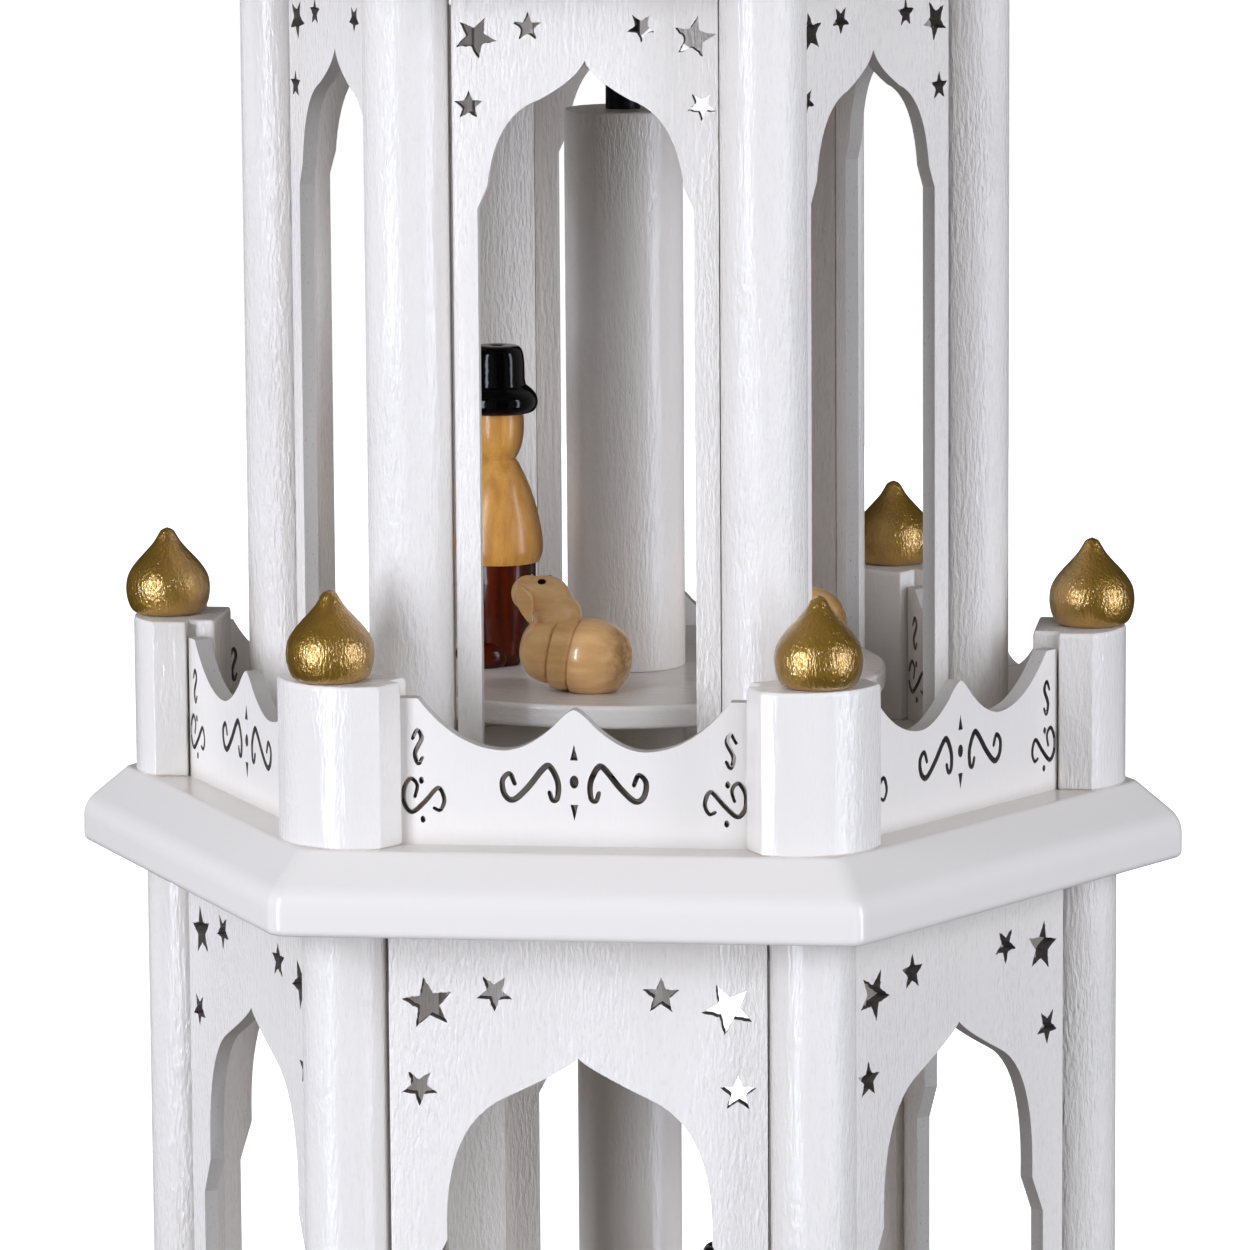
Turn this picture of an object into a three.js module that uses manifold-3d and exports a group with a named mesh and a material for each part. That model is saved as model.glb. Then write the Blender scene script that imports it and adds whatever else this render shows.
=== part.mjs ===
// Two-storey turning Christmas pyramid of white lacquered wood, hexagonal in plan.
// Millimetres, +Z up. The origin lies under the middle of the base board and one face of
// the hexagon looks along -Y. The frame stands still, and the axle turns in it with its
// plates, hollow columns, figures and rotor.
import * as THREE from 'three';
import Module from 'manifold-3d';
import { mergeVertices } from 'three/addons/utils/BufferGeometryUtils.js';

const wasm = await Module();
wasm.setup();

// Plan and clearances
const FACES = 6;
const FACE_STEP = (2 * Math.PI) / FACES;
const HALF_STEP = FACE_STEP / 2;
const GLUE_GAP = 0.3;
const BORE_CLEARANCE = 0.15;

// Boards, from the bottom up. A radius reaches a corner of the hexagon.
const BASE = { cornerRadius: 130, thickness: 15 };
const DECK = { cornerRadius: 97, thickness: 13.4 };
const ROOF = { cornerRadius: 77, thickness: 12 };
const MOULDING = { slopeWidth: 5.3, slopeDrop: 5.9, topRound: 0.6, shoulderRound: 1.2, footRound: 1.1 };
const DECK_BORE_RADIUS = 5;
const ROOF_BORE_RADIUS = 3.5;
const PIVOT_POCKET = { radius: 4, depth: 6 };

// Storeys. A post centre stands on the corner line, and a panel's outer face lies at the
// apothem. The arch and the stars hang from the panel's top edge, so that their heights are
// drops below it. Star tilts are in degrees from upright, for the corner, inner and outer star.
const LOWER = {
  height: 140,
  postCentre: 78,
  panelFace: 70.3,
  arch: {
    jamb: 25.5, springing: 60, stepTop: [22.2, 53.5], shoulderPull: [22.9, 33.8],
    shoulder: [12, 29], tipPull: [1.5, 24], apex: 22.2,
  },
  stars: {
    large: 4.5, small: 3.2, corner: [25, 13.4], inner: [13.9, 11.4], outer: [26.6, 27.6],
    leftTilts: [-10, 36, 36], rightTilts: [18, 0, 0],
  },
};
const UPPER = {
  height: 142.6,
  postCentre: 59.2,
  panelFace: 52.8,
  arch: {
    jamb: 18, springing: 39.1, stepTop: [16.3, 35.3], shoulderPull: [15, 23.5],
    shoulder: [7.5, 21], tipPull: [1.2, 17.6], apex: 14.6,
  },
  stars: {
    large: 3.6, small: 2.5, corner: [18.1, 10.8], inner: [9.4, 9.1], outer: [19.3, 22],
    leftTilts: [-22, 0, 0], rightTilts: [-7, 36, 36],
  },
};
const POST = { radius: 7.2, backFlat: 4.5 };
const STOREY_PANEL_THICKNESS = 2.5;
const STAR_INNER_RATIO = 0.43;
// Faces whose panels were glued in with the other side out
const FLIPPED_FACES = [1, 3];

// Balustrade on the middle deck. Distances of the posts run out along the corner line.
const RAIL_POST = { back: 71.2, shoulder: 81.6, bulge: 5.1, halfWidth: 10.8, height: 27.2 };
const RAIL = {
  face: 70.3, thickness: 2.8, halfLength: 29.1, endHeight: 24.4, endFlat: 3.2, peakHeight: 22.8,
  trough: [12, 15.9], troughEndPull: [19.6, 16.2], troughPeakPull: [8, 15.8],
  peakFoot: [3.4, 20], peakShoulder: [1.2, 22.3], peakPull: [0.7, 22.8],
};
const SCROLL_CUT = 0.75;
const FINIAL = { centre: 80.8, radius: 7.35, height: 15.1 };

// Turning parts
const AXLE = { radius: 3, tipRadius: 0.8, tipLength: 5, tipGap: 0.2 };
const LOWER_TABLE = {
  radius: 60, thickness: 5, rise: 19.7, hubRadius: 11, hubHeight: 8, columnRadius: 9.1, columnTop: 128,
};
const UPPER_TABLE = {
  radius: 45, thickness: 4, rise: 19.2, hubRadius: 10.2, hubHeight: 14.2, columnRadius: 10.2, columnTop: 115.9,
};
const ROTOR = {
  blades: 12, pitch: 38, tip: 140, root: 52, tipWidth: 48, rootWidth: 26, bladeThickness: 1.6,
  bladeCornerCut: 5, stemRadius: 2, stemEnd: 60, hubRadius: 17, hubHeight: 18, hubRound: 2,
  hubRise: 20, socketDepth: 12, domeRise: 4, domeTopRadius: 5, knobRadius: 8, knobHeight: 16, knobSunk: 1,
};

// Figures. Each stands a distance in from the rim of its plate, at a bearing round the axle,
// and faces its own way. Both angles are in degrees from +X.
const SHEPHERD = { inset: 22.9, bearing: 185, facing: 215 };
const LOWER_MAN = { inset: 28.8, bearing: 310, facing: 300 };
const SHEEP_FRONT = { inset: 15.6, bearing: 260, facing: 171 };
const SHEEP_BACK = { inset: 15.7, bearing: 19, facing: 185 };
const BOOT = { length: 7.4, width: 5, height: 5.4, forward: 3.4, apart: 5.2, lift: 1.9 };
const SHEEP = {
  axisHeight: 6.2, rise: 8,
  head: { length: 9.8, width: 7.4, height: 7.2, forward: 6.4, lift: 16.7, nod: 0 },
  neck: { length: 8.8, width: 6.8, height: 11, forward: 2.9, lift: 12.6 },
  ear: { thickness: 1.1, forward: 7.9, out: 3.6, lift: 14.5 },
};

// Candle cups on the corners of the base board
const CUP = {
  centre: 110, height: 19, footRadius: 9, footThickness: 1.5, stemRadius: 5.2, stemHeight: 4,
  bowlRadius: 10.5, bowlBottom: 8.5, bowlBelly: 12, mouthRadius: 9.9, socketRadius: 7.4, socketDepth: 13,
};

// Levels that follow from the storeys
const BASE_TOP = BASE.thickness;
const DECK_BOTTOM = BASE_TOP + LOWER.height;
const DECK_TOP = DECK_BOTTOM + DECK.thickness;
const ROOF_BOTTOM = DECK_TOP + UPPER.height;
const ROOF_TOP = ROOF_BOTTOM + ROOF.thickness;
const LOWER_TABLE_TOP = BASE_TOP + LOWER_TABLE.rise;
const UPPER_TABLE_TOP = DECK_TOP + UPPER_TABLE.rise;
const HUB_BOTTOM = ROOF_TOP + ROTOR.hubRise;
const PIVOT_FLOOR = BASE_TOP - PIVOT_POCKET.depth;
const AXLE_TOP = HUB_BOTTOM + ROTOR.socketDepth - GLUE_GAP;
const AXLE_BORE_RADIUS = AXLE.radius + BORE_CLEARANCE;

// Paints and woods
const WHITE_LACQUER = { color: '#e7e7ec', roughness: 0.32, metalness: 0 };
const GOLD_PAINT = { color: '#9a7429', roughness: 0.42, metalness: 0.85 };
const TURNED_MAPLE = { color: '#d8a45a', roughness: 0.45, metalness: 0 };
const LIGHT_LIME = { color: '#dcb781', roughness: 0.55, metalness: 0 };
const BLACKENED_STEEL = { color: '#242326', roughness: 0.4, metalness: 0.9 };
const BLADE_BEECH = { color: '#d9bd8d', roughness: 0.6, metalness: 0 };

const pyramid = new THREE.Group();

function addPiece(name, geometry, look, parent = pyramid) {
  const mesh = new THREE.Mesh(geometry, new THREE.MeshStandardMaterial(look));
  mesh.name = name;
  parent.add(mesh);
  return mesh;
}

function degrees(angle) {
  return THREE.MathUtils.degToRad(angle);
}

function cornerAngle(index) {
  return -Math.PI / 2 - HALF_STEP + index * FACE_STEP;
}

function faceAngle(index) {
  return index * FACE_STEP;
}

// Solids for joining and cutting
function toSolid(geometry) {
  const bare = geometry.clone();
  bare.deleteAttribute('normal');
  bare.deleteAttribute('uv');
  const merged = mergeVertices(bare, 1e-4);
  const corners = merged.index.array;
  const kept = [];
  for (let i = 0; i < corners.length; i += 3) {
    const [a, b, c] = [corners[i], corners[i + 1], corners[i + 2]];
    if (a !== b && b !== c && c !== a) {
      kept.push(a, b, c);
    }
  }
  return new wasm.Manifold(new wasm.Mesh({
    numProp: 3,
    vertProperties: merged.attributes.position.array,
    triVerts: new Uint32Array(kept),
  }));
}

function toGeometry(solid) {
  const mesh = solid.getMesh();
  const geometry = new THREE.BufferGeometry();
  geometry.setAttribute('position', new THREE.BufferAttribute(mesh.vertProperties, 3));
  geometry.setIndex(new THREE.BufferAttribute(mesh.triVerts, 1));
  return geometry;
}

// A turned piece. The profile lists radius and height from the bottom up.
function turned(profile, segments) {
  const points = profile.map(([radius, height]) => new THREE.Vector2(radius, height));
  return new THREE.LatheGeometry(points, segments).rotateX(Math.PI / 2);
}

// A turned piece with a bore. The bore's wall closes the profile.
function turnedRing(boreRadius, profile, segments) {
  const bottom = profile[0][1];
  const top = profile[profile.length - 1][1];
  return turned([[boreRadius, bottom], ...profile, [boreRadius, top], [boreRadius, bottom]], segments);
}

function upright(radius, bottom, top, segments) {
  const length = top - bottom;
  return new THREE.CylinderGeometry(radius, radius, length, segments)
    .rotateX(Math.PI / 2)
    .translate(0, 0, bottom + length / 2);
}

function curvePoints(from, pull, to, steps) {
  const curve = new THREE.QuadraticBezierCurve(
    new THREE.Vector2(...from), new THREE.Vector2(...pull), new THREE.Vector2(...to));
  return curve.getPoints(steps).slice(1);
}

// A flat board of the outline, from its inner face outwards along -Y, standing on the outline's zero line.
function standing(shape, outerFace, thickness) {
  return new THREE.ExtrudeGeometry(shape, { depth: thickness, bevelEnabled: false })
    .rotateX(Math.PI / 2)
    .translate(0, thickness - outerFace, 0);
}

function mirroredOutline(rightHalf) {
  const leftHalf = rightHalf.map((point) => new THREE.Vector2(-point.x, point.y)).reverse();
  return [...rightHalf, ...leftHalf];
}

// Hexagonal boards with a sloped and rounded edge
function mouldedBoard({ cornerRadius, thickness }) {
  const edge = cornerRadius;
  const { slopeWidth, slopeDrop, topRound, shoulderRound, footRound } = MOULDING;
  const profile = [
    [0, 0],
    [edge - footRound, 0],
    [edge, footRound],
    [edge, thickness - slopeDrop - shoulderRound],
    [edge - shoulderRound, thickness - slopeDrop],
    [edge - slopeWidth - shoulderRound, thickness - topRound / 2],
    [edge - slopeWidth - shoulderRound - topRound, thickness],
    [0, thickness],
  ];
  return turned(profile, FACES).rotateZ(Math.PI / 2);
}

function bored(board, radius, from, to) {
  return toGeometry(toSolid(board).subtract(toSolid(upright(radius, from, to, 24))));
}

function addBoards() {
  const overshoot = 1;
  const base = bored(mouldedBoard(BASE), PIVOT_POCKET.radius, PIVOT_FLOOR, BASE_TOP + overshoot);
  addPiece('base_board', base, WHITE_LACQUER);
  const deck = bored(mouldedBoard(DECK), DECK_BORE_RADIUS, -overshoot, DECK.thickness + overshoot);
  addPiece('middle_deck', deck, WHITE_LACQUER).position.z = DECK_BOTTOM;
  const roof = bored(mouldedBoard(ROOF), ROOF_BORE_RADIUS, -overshoot, ROOF.thickness + overshoot);
  addPiece('roof_board', roof, WHITE_LACQUER).position.z = ROOF_BOTTOM;
}

// Round milled posts with a flat back, on the corners of a storey
function storeyPost(height) {
  const half = Math.acos(-POST.backFlat / POST.radius);
  const section = new THREE.Shape();
  section.absarc(0, 0, POST.radius, -half, half, false);
  return new THREE.ExtrudeGeometry(section, { depth: height, bevelEnabled: false, curveSegments: 9 });
}

function addStoreyPosts(storeyName, storey, floor) {
  for (let corner = 0; corner < FACES; corner += 1) {
    const post = addPiece(`${storeyName}_post_${corner + 1}`, storeyPost(storey.height), WHITE_LACQUER);
    const angle = cornerAngle(corner);
    post.position.set(storey.postCentre * Math.cos(angle), storey.postCentre * Math.sin(angle), floor);
    post.rotation.z = angle;
  }
}

// Plywood panels with an ogee arch and six five-pointed stars
function starHole([x, y], radius, tilt) {
  const points = [];
  const tips = 5;
  for (let i = 0; i < 2 * tips; i += 1) {
    const reach = i % 2 === 0 ? radius : radius * STAR_INNER_RATIO;
    const angle = Math.PI / 2 + tilt + (i * Math.PI) / tips;
    points.push(new THREE.Vector2(x + reach * Math.cos(angle), y + reach * Math.sin(angle)));
  }
  return new THREE.Path(points);
}

function starHoles({ large, small, corner, inner, outer, leftTilts, rightTilts }, height, flipped) {
  const holes = [];
  for (const [side, tilts] of [[-1, leftTilts], [1, rightTilts]]) {
    const turnedOver = flipped ? -1 : 1;
    const places = [[corner, large], [inner, small], [outer, small]];
    places.forEach(([[x, drop], radius], i) => {
      holes.push(starHole([turnedOver * side * x, height - drop], radius, degrees(turnedOver * tilts[i])));
    });
  }
  return holes;
}

function archHalf({ jamb, springing, stepTop, shoulderPull, shoulder, tipPull, apex }, height) {
  const raised = ([x, drop]) => [x, height - drop];
  const [step, shoulderPoint] = [raised(stepTop), raised(shoulder)];
  return [
    new THREE.Vector2(jamb, 0),
    new THREE.Vector2(jamb, height - springing),
    new THREE.Vector2(...step),
    ...curvePoints(step, raised(shoulderPull), shoulderPoint, 5),
    ...curvePoints(shoulderPoint, raised(tipPull), [0, height - apex], 3).slice(0, -1),
  ];
}

function storeyPanel({ height, postCentre, panelFace, arch, stars }, flipped) {
  const halfLength = postCentre * Math.sin(HALF_STEP) - POST.radius - GLUE_GAP;
  const inside = archHalf(arch, height);
  const leftInside = inside.map((point) => new THREE.Vector2(-point.x, point.y));
  const shape = new THREE.Shape([
    new THREE.Vector2(-halfLength, 0),
    ...leftInside,
    new THREE.Vector2(0, height - arch.apex),
    ...inside.reverse(),
    new THREE.Vector2(halfLength, 0),
    new THREE.Vector2(halfLength, height),
    new THREE.Vector2(-halfLength, height),
  ]);
  shape.holes.push(...starHoles(stars, height, flipped));
  return standing(shape, panelFace, STOREY_PANEL_THICKNESS);
}

function addStoreyPanels(storeyName, storey, floor) {
  for (let face = 0; face < FACES; face += 1) {
    const geometry = storeyPanel(storey, FLIPPED_FACES.includes(face));
    const panel = addPiece(`${storeyName}_panel_${face + 1}`, geometry, WHITE_LACQUER);
    panel.position.z = floor;
    panel.rotation.z = faceAngle(face);
  }
}

// Balustrade posts with straight sides and a bulging outer face. A rebate at each side of the
// back takes the square end of a panel.
function railPost() {
  const { back, shoulder, bulge, halfWidth, height } = RAIL_POST;
  const { face, thickness, halfLength } = RAIL;
  const [sine, cosine] = [Math.sin(HALF_STEP), Math.cos(HALF_STEP)];
  const rebate = face * cosine + halfLength * sine + GLUE_GAP;
  const neck = (face - thickness) * sine - halfLength * cosine;
  const halfNeck = Math.abs(neck) - GLUE_GAP;
  const arcRadius = (halfWidth ** 2 + bulge ** 2) / (2 * bulge);
  const arcCentre = shoulder + bulge - arcRadius;
  const half = Math.asin(halfWidth / arcRadius);
  const section = new THREE.Shape();
  section.moveTo(back, -halfNeck);
  section.lineTo(rebate, -halfNeck);
  section.lineTo(rebate, -halfWidth);
  section.lineTo(shoulder, -halfWidth);
  section.absarc(arcCentre, 0, arcRadius, -half, half, false);
  section.lineTo(rebate, halfWidth);
  section.lineTo(rebate, halfNeck);
  section.lineTo(back, halfNeck);
  return new THREE.ExtrudeGeometry(section, { depth: height, bevelEnabled: false, curveSegments: 5 });
}

function addRailPosts() {
  for (let corner = 0; corner < FACES; corner += 1) {
    const post = addPiece(`rail_post_${corner + 1}`, railPost(), WHITE_LACQUER);
    post.position.z = DECK_TOP;
    post.rotation.z = cornerAngle(corner);
  }
}

// Scroll cuts follow a curve through a few points at one width
function scrollHole(points, samples, mirrored) {
  const side = mirrored ? -1 : 1;
  const curve = new THREE.SplineCurve(points.map(([x, y]) => new THREE.Vector2(side * x, y)));
  const left = [];
  const right = [];
  for (let i = 0; i <= samples; i += 1) {
    const at = curve.getPointAt(i / samples);
    const across = curve.getTangentAt(i / samples);
    across.set(-across.y, across.x).multiplyScalar(SCROLL_CUT / 2);
    left.push(at.clone().add(across));
    right.unshift(at.clone().sub(across));
  }
  return new THREE.Path([...left, ...right]);
}

function ovalHole(x, y, halfWidth, halfHeight) {
  const path = new THREE.Path();
  path.absellipse(x, y, halfWidth, halfHeight, 0, 2 * Math.PI, false, 0);
  return new THREE.Path(path.getPoints(3).slice(0, -1));
}

function wedgeHole(baseHeight, tipHeight) {
  const halfBase = 0.65;
  return new THREE.Path([
    new THREE.Vector2(-halfBase, baseHeight),
    new THREE.Vector2(halfBase, baseHeight),
    new THREE.Vector2(0, tipHeight),
  ]);
}

const WIDE_SCROLL = [
  [-9.9, 10.4], [-10.7, 12.1], [-11.9, 10.9], [-11.6, 8.6], [-10.1, 7.7], [-7.7, 9.8],
  [-5, 13.1], [-3.9, 13.2], [-2.7, 10.7], [-2.8, 8.1], [-3.6, 7.7], [-4.1, 9],
];
const END_SCROLL = [
  [-26.5, 8], [-26.1, 9.9], [-27.2, 11], [-28.3, 9.3], [-28.3, 6.9], [-27, 5.4],
  [-24.8, 7.2], [-22.6, 9.5], [-21.6, 7.5], [-22.3, 5.8], [-23.3, 6.1],
];
const SMALL_SCROLL = [[-26.8, 17.7], [-26, 19.1], [-25.3, 17.7], [-26.4, 15.3], [-25.9, 13.5], [-25.2, 14.5]];
const END_DOTS = [[-25.4, 10.7], [-25.2, 4.2]];

function railPanel() {
  const { face, thickness, halfLength, endHeight, endFlat, trough, troughEndPull, troughPeakPull } = RAIL;
  const { peakHeight, peakFoot, peakShoulder, peakPull } = RAIL;
  const endCorner = [halfLength - endFlat, endHeight];
  const rightHalf = [
    new THREE.Vector2(halfLength, 0),
    new THREE.Vector2(halfLength, endHeight),
    new THREE.Vector2(...endCorner),
    ...curvePoints(endCorner, troughEndPull, trough, 5),
    ...curvePoints(trough, troughPeakPull, peakFoot, 4),
    new THREE.Vector2(...peakShoulder),
    ...curvePoints(peakShoulder, peakPull, [0.3, peakHeight], 2),
  ];
  const shape = new THREE.Shape(mirroredOutline(rightHalf));
  for (const mirrored of [false, true]) {
    const side = mirrored ? -1 : 1;
    shape.holes.push(scrollHole(WIDE_SCROLL, 10, mirrored));
    shape.holes.push(scrollHole(END_SCROLL, 9, mirrored));
    shape.holes.push(scrollHole(SMALL_SCROLL, 5, mirrored));
    for (const [x, y] of END_DOTS) {
      shape.holes.push(ovalHole(side * x, y, 0.4, 0.6));
    }
  }
  shape.holes.push(wedgeHole(14.4, 17), ovalHole(0, 10.8, 0.7, 1), wedgeHole(7, 4.3));
  return standing(shape, face, thickness);
}

function addRailPanels() {
  for (let face = 0; face < FACES; face += 1) {
    const panel = addPiece(`rail_panel_${face + 1}`, railPanel(), WHITE_LACQUER);
    panel.position.z = DECK_TOP;
    panel.rotation.z = faceAngle(face);
  }
}

// Onion knobs, as parts of their radius and height
const ONION = [
  [0, 0], [0.74, 0], [0.93, 0.12], [1, 0.29], [0.93, 0.44], [0.71, 0.6], [0.44, 0.76], [0.27, 0.88], [0.13, 0.97], [0, 1],
];

function onion(radius, height, segments) {
  return turned(ONION.map(([r, z]) => [r * radius, z * height]), segments);
}

function addFinials() {
  for (let corner = 0; corner < FACES; corner += 1) {
    const knob = addPiece(`finial_${corner + 1}`, onion(FINIAL.radius, FINIAL.height, 12), GOLD_PAINT);
    const angle = cornerAngle(corner);
    knob.position.set(FINIAL.centre * Math.cos(angle), FINIAL.centre * Math.sin(angle), DECK_TOP + RAIL_POST.height);
  }
}

function addCandleCups() {
  const { centre, height, footRadius, footThickness, stemRadius, stemHeight } = CUP;
  const { bowlRadius, bowlBottom, bowlBelly, mouthRadius, socketRadius, socketDepth } = CUP;
  const floor = height - socketDepth;
  const profile = [
    [0, 0], [footRadius, 0], [footRadius, footThickness], [stemRadius, stemHeight],
    [mouthRadius, bowlBottom], [bowlRadius, bowlBelly], [mouthRadius, height],
    [socketRadius, height], [socketRadius, floor], [0, floor],
  ];
  for (let corner = 0; corner < FACES; corner += 1) {
    const cup = addPiece(`candle_cup_${corner + 1}`, turned(profile, 12), GOLD_PAINT);
    const angle = cornerAngle(corner);
    cup.position.set(centre * Math.cos(angle), centre * Math.sin(angle), BASE_TOP);
  }
}

// Axle with a turned point that stands in the pocket of the base board
function addAxle(carousel) {
  const tip = PIVOT_FLOOR + AXLE.tipGap;
  const profile = [[0, tip], [AXLE.tipRadius, tip], [AXLE.radius, tip + AXLE.tipLength], [AXLE.radius, AXLE_TOP], [0, AXLE_TOP]];
  addPiece('axle', turned(profile, 16), BLACKENED_STEEL, carousel);
}

function addLowerTurntable(carousel) {
  const { radius, thickness, hubRadius, hubHeight, columnRadius, columnTop } = LOWER_TABLE;
  const underside = LOWER_TABLE_TOP - thickness;
  const rim = 0.8;
  const profile = [
    [hubRadius, underside - hubHeight],
    [hubRadius, underside],
    [radius - rim, underside],
    [radius, underside + rim],
    [radius, LOWER_TABLE_TOP - rim],
    [radius - rim, LOWER_TABLE_TOP],
    [columnRadius, LOWER_TABLE_TOP],
    [columnRadius, BASE_TOP + columnTop],
  ];
  addPiece('lower_turntable', turnedRing(AXLE_BORE_RADIUS, profile, 28), WHITE_LACQUER, carousel);
}

function addUpperTurntable(carousel) {
  const { radius, thickness, hubRadius, hubHeight, columnRadius, columnTop } = UPPER_TABLE;
  const underside = UPPER_TABLE_TOP - thickness;
  const rim = 0.7;
  const plate = [
    [hubRadius, underside - hubHeight],
    [hubRadius, underside],
    [radius - rim, underside],
    [radius, underside + rim],
    [radius, UPPER_TABLE_TOP - rim],
    [radius - rim, UPPER_TABLE_TOP],
  ];
  addPiece('upper_plate', turnedRing(AXLE_BORE_RADIUS, plate, 28), WHITE_LACQUER, carousel);
  const top = DECK_TOP + columnTop;
  const column = [
    [columnRadius, UPPER_TABLE_TOP],
    [columnRadius, top - 0.5],
    [columnRadius - 0.5, top],
  ];
  addPiece('upper_column', turnedRing(AXLE_BORE_RADIUS, column, 20), WHITE_LACQUER, carousel);
}

// Rotor of thin blades on round stems, each turned to its pitch in the hub
function rotorBlade() {
  const { tip, root, tipWidth, rootWidth, bladeThickness, bladeCornerCut, pitch } = ROTOR;
  const { stemRadius, stemEnd, hubRadius } = ROTOR;
  const outline = new THREE.Shape([
    new THREE.Vector2(root, -rootWidth / 2),
    new THREE.Vector2(tip - bladeCornerCut, -tipWidth / 2),
    new THREE.Vector2(tip, bladeCornerCut - tipWidth / 2),
    new THREE.Vector2(tip, tipWidth / 2 - bladeCornerCut),
    new THREE.Vector2(tip - bladeCornerCut, tipWidth / 2),
    new THREE.Vector2(root, rootWidth / 2),
  ]);
  const blade = new THREE.ExtrudeGeometry(outline, { depth: bladeThickness, bevelEnabled: false })
    .translate(0, 0, -bladeThickness / 2)
    .rotateX(degrees(pitch));
  const stemStart = hubRadius / 2;
  const stem = new THREE.CylinderGeometry(stemRadius, stemRadius, stemEnd - stemStart, 6)
    .rotateZ(Math.PI / 2)
    .translate((stemEnd + stemStart) / 2, 0, 0);
  return toSolid(blade).add(toSolid(stem));
}

function addRotor(carousel) {
  const { blades, hubRadius, hubHeight, socketDepth } = ROTOR;
  const { hubRound, domeRise, domeTopRadius, knobRadius, knobHeight, knobSunk } = ROTOR;
  const hub = turned([
    [0, 0], [hubRadius - hubRound, 0], [hubRadius, hubRound], [hubRadius, hubHeight - hubRound],
    [hubRadius - hubRound, hubHeight], [domeTopRadius, hubHeight + domeRise], [0, hubHeight + domeRise],
  ], 18);
  const cap = onion(knobRadius, knobHeight, 12).translate(0, 0, hubHeight + domeRise - knobSunk);
  const socket = upright(AXLE_BORE_RADIUS, -1, socketDepth, 16);
  let rotor = toSolid(hub).add(toSolid(cap)).subtract(toSolid(socket));
  const blade = rotorBlade();
  for (let i = 0; i < blades; i += 1) {
    rotor = rotor.add(blade.rotate(0, 0, (360 * (i + 0.5)) / blades).translate(0, 0, hubHeight / 2));
  }
  addPiece('rotor', toGeometry(rotor), BLADE_BEECH, carousel).position.z = HUB_BOTTOM;
}

// A turned man with a round hat, as radius and height, and a lying sheep turned in rings, as
// radius and place along its back
const MAN_PROFILE = [
  [0, 0], [3.4, 0], [4.6, 2], [5.8, 9], [6.4, 18], [7.1, 18.3], [7.7, 20.6], [6.8, 27], [5.4, 31.7], [3.1, 36],
  [4.3, 38.8], [4.5, 44], [6.3, 44.2], [7, 45.8], [6.8, 47.2], [4.8, 49], [4.7, 53.3], [3.7, 55.7], [0, 55.8],
];
const SHEEP_PROFILE = [
  [0, -9.8], [3, -9.3], [5.2, -7.6], [6.5, -5.2], [6.9, -2.6], [6.6, 0.2], [6.1, 0.8], [6.5, 1.4], [6.4, 3.8],
  [5.2, 4.4], [5.7, 5.4], [5.2, 7.2], [3.4, 8.9], [0, 9.7],
];

// What lies above the plate of a figure's solid
function seated(solid) {
  const { min, max } = solid.boundingBox();
  const [width, depth, height] = [max[0] - min[0], max[1] - min[1], max[2]];
  const room = new THREE.BoxGeometry(2 * width, 2 * depth, height).translate(0, 0, height / 2);
  return toGeometry(solid.intersect(toSolid(room)));
}

function ellipsoid({ length, width, height }, segments) {
  return new THREE.SphereGeometry(1, segments, segments - 2).scale(length / 2, width / 2, height / 2);
}

function turnedMan() {
  let man = toSolid(turned(MAN_PROFILE, 12));
  for (const side of [-1, 1]) {
    const boot = ellipsoid(BOOT, 8).translate(BOOT.forward, (side * BOOT.apart) / 2, BOOT.lift);
    man = man.add(toSolid(boot));
  }
  return seated(man);
}

function sheepEar() {
  const leaf = new THREE.Shape();
  leaf.moveTo(1.1, 4.6);
  leaf.quadraticCurveTo(2.2, 1.4, -0.9, -3);
  leaf.quadraticCurveTo(-3, 1.8, 1.1, 4.6);
  return new THREE.ExtrudeGeometry(leaf, { depth: SHEEP.ear.thickness, bevelEnabled: false, curveSegments: 3 })
    .translate(0, 0, -SHEEP.ear.thickness / 2)
    .rotateX(Math.PI / 2);
}

function lyingSheep() {
  const { axisHeight, rise, head, neck, ear } = SHEEP;
  const body = turned(SHEEP_PROFILE, 12).rotateY(Math.PI / 2 - degrees(rise)).translate(0, 0, axisHeight);
  const skull = ellipsoid(head, 10).rotateY(degrees(head.nod)).translate(head.forward, 0, head.lift);
  const throat = ellipsoid(neck, 8).translate(neck.forward, 0, neck.lift);
  let sheep = toSolid(body).add(toSolid(throat)).add(toSolid(skull));
  for (const side of [-1, 1]) {
    sheep = sheep.add(toSolid(sheepEar().translate(ear.forward, side * ear.out, ear.lift)));
  }
  return seated(sheep);
}

function addFigure(name, geometry, look, { inset, bearing, facing }, plateRadius, floor, carousel) {
  const figure = addPiece(name, geometry, look, carousel);
  const [reach, angle] = [plateRadius - inset, degrees(bearing)];
  figure.position.set(reach * Math.cos(angle), reach * Math.sin(angle), floor);
  figure.rotation.z = degrees(facing);
}

function addCarousel() {
  const carousel = new THREE.Group();
  pyramid.add(carousel);
  addAxle(carousel);
  addLowerTurntable(carousel);
  addUpperTurntable(carousel);
  addRotor(carousel);
  const [upperRadius, lowerRadius] = [UPPER_TABLE.radius, LOWER_TABLE.radius];
  addFigure('shepherd', turnedMan(), TURNED_MAPLE, SHEPHERD, upperRadius, UPPER_TABLE_TOP, carousel);
  addFigure('sheep_front', lyingSheep(), LIGHT_LIME, SHEEP_FRONT, upperRadius, UPPER_TABLE_TOP, carousel);
  addFigure('sheep_back', lyingSheep(), LIGHT_LIME, SHEEP_BACK, upperRadius, UPPER_TABLE_TOP, carousel);
  addFigure('lower_man', turnedMan(), TURNED_MAPLE, LOWER_MAN, lowerRadius, LOWER_TABLE_TOP, carousel);
}

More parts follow.
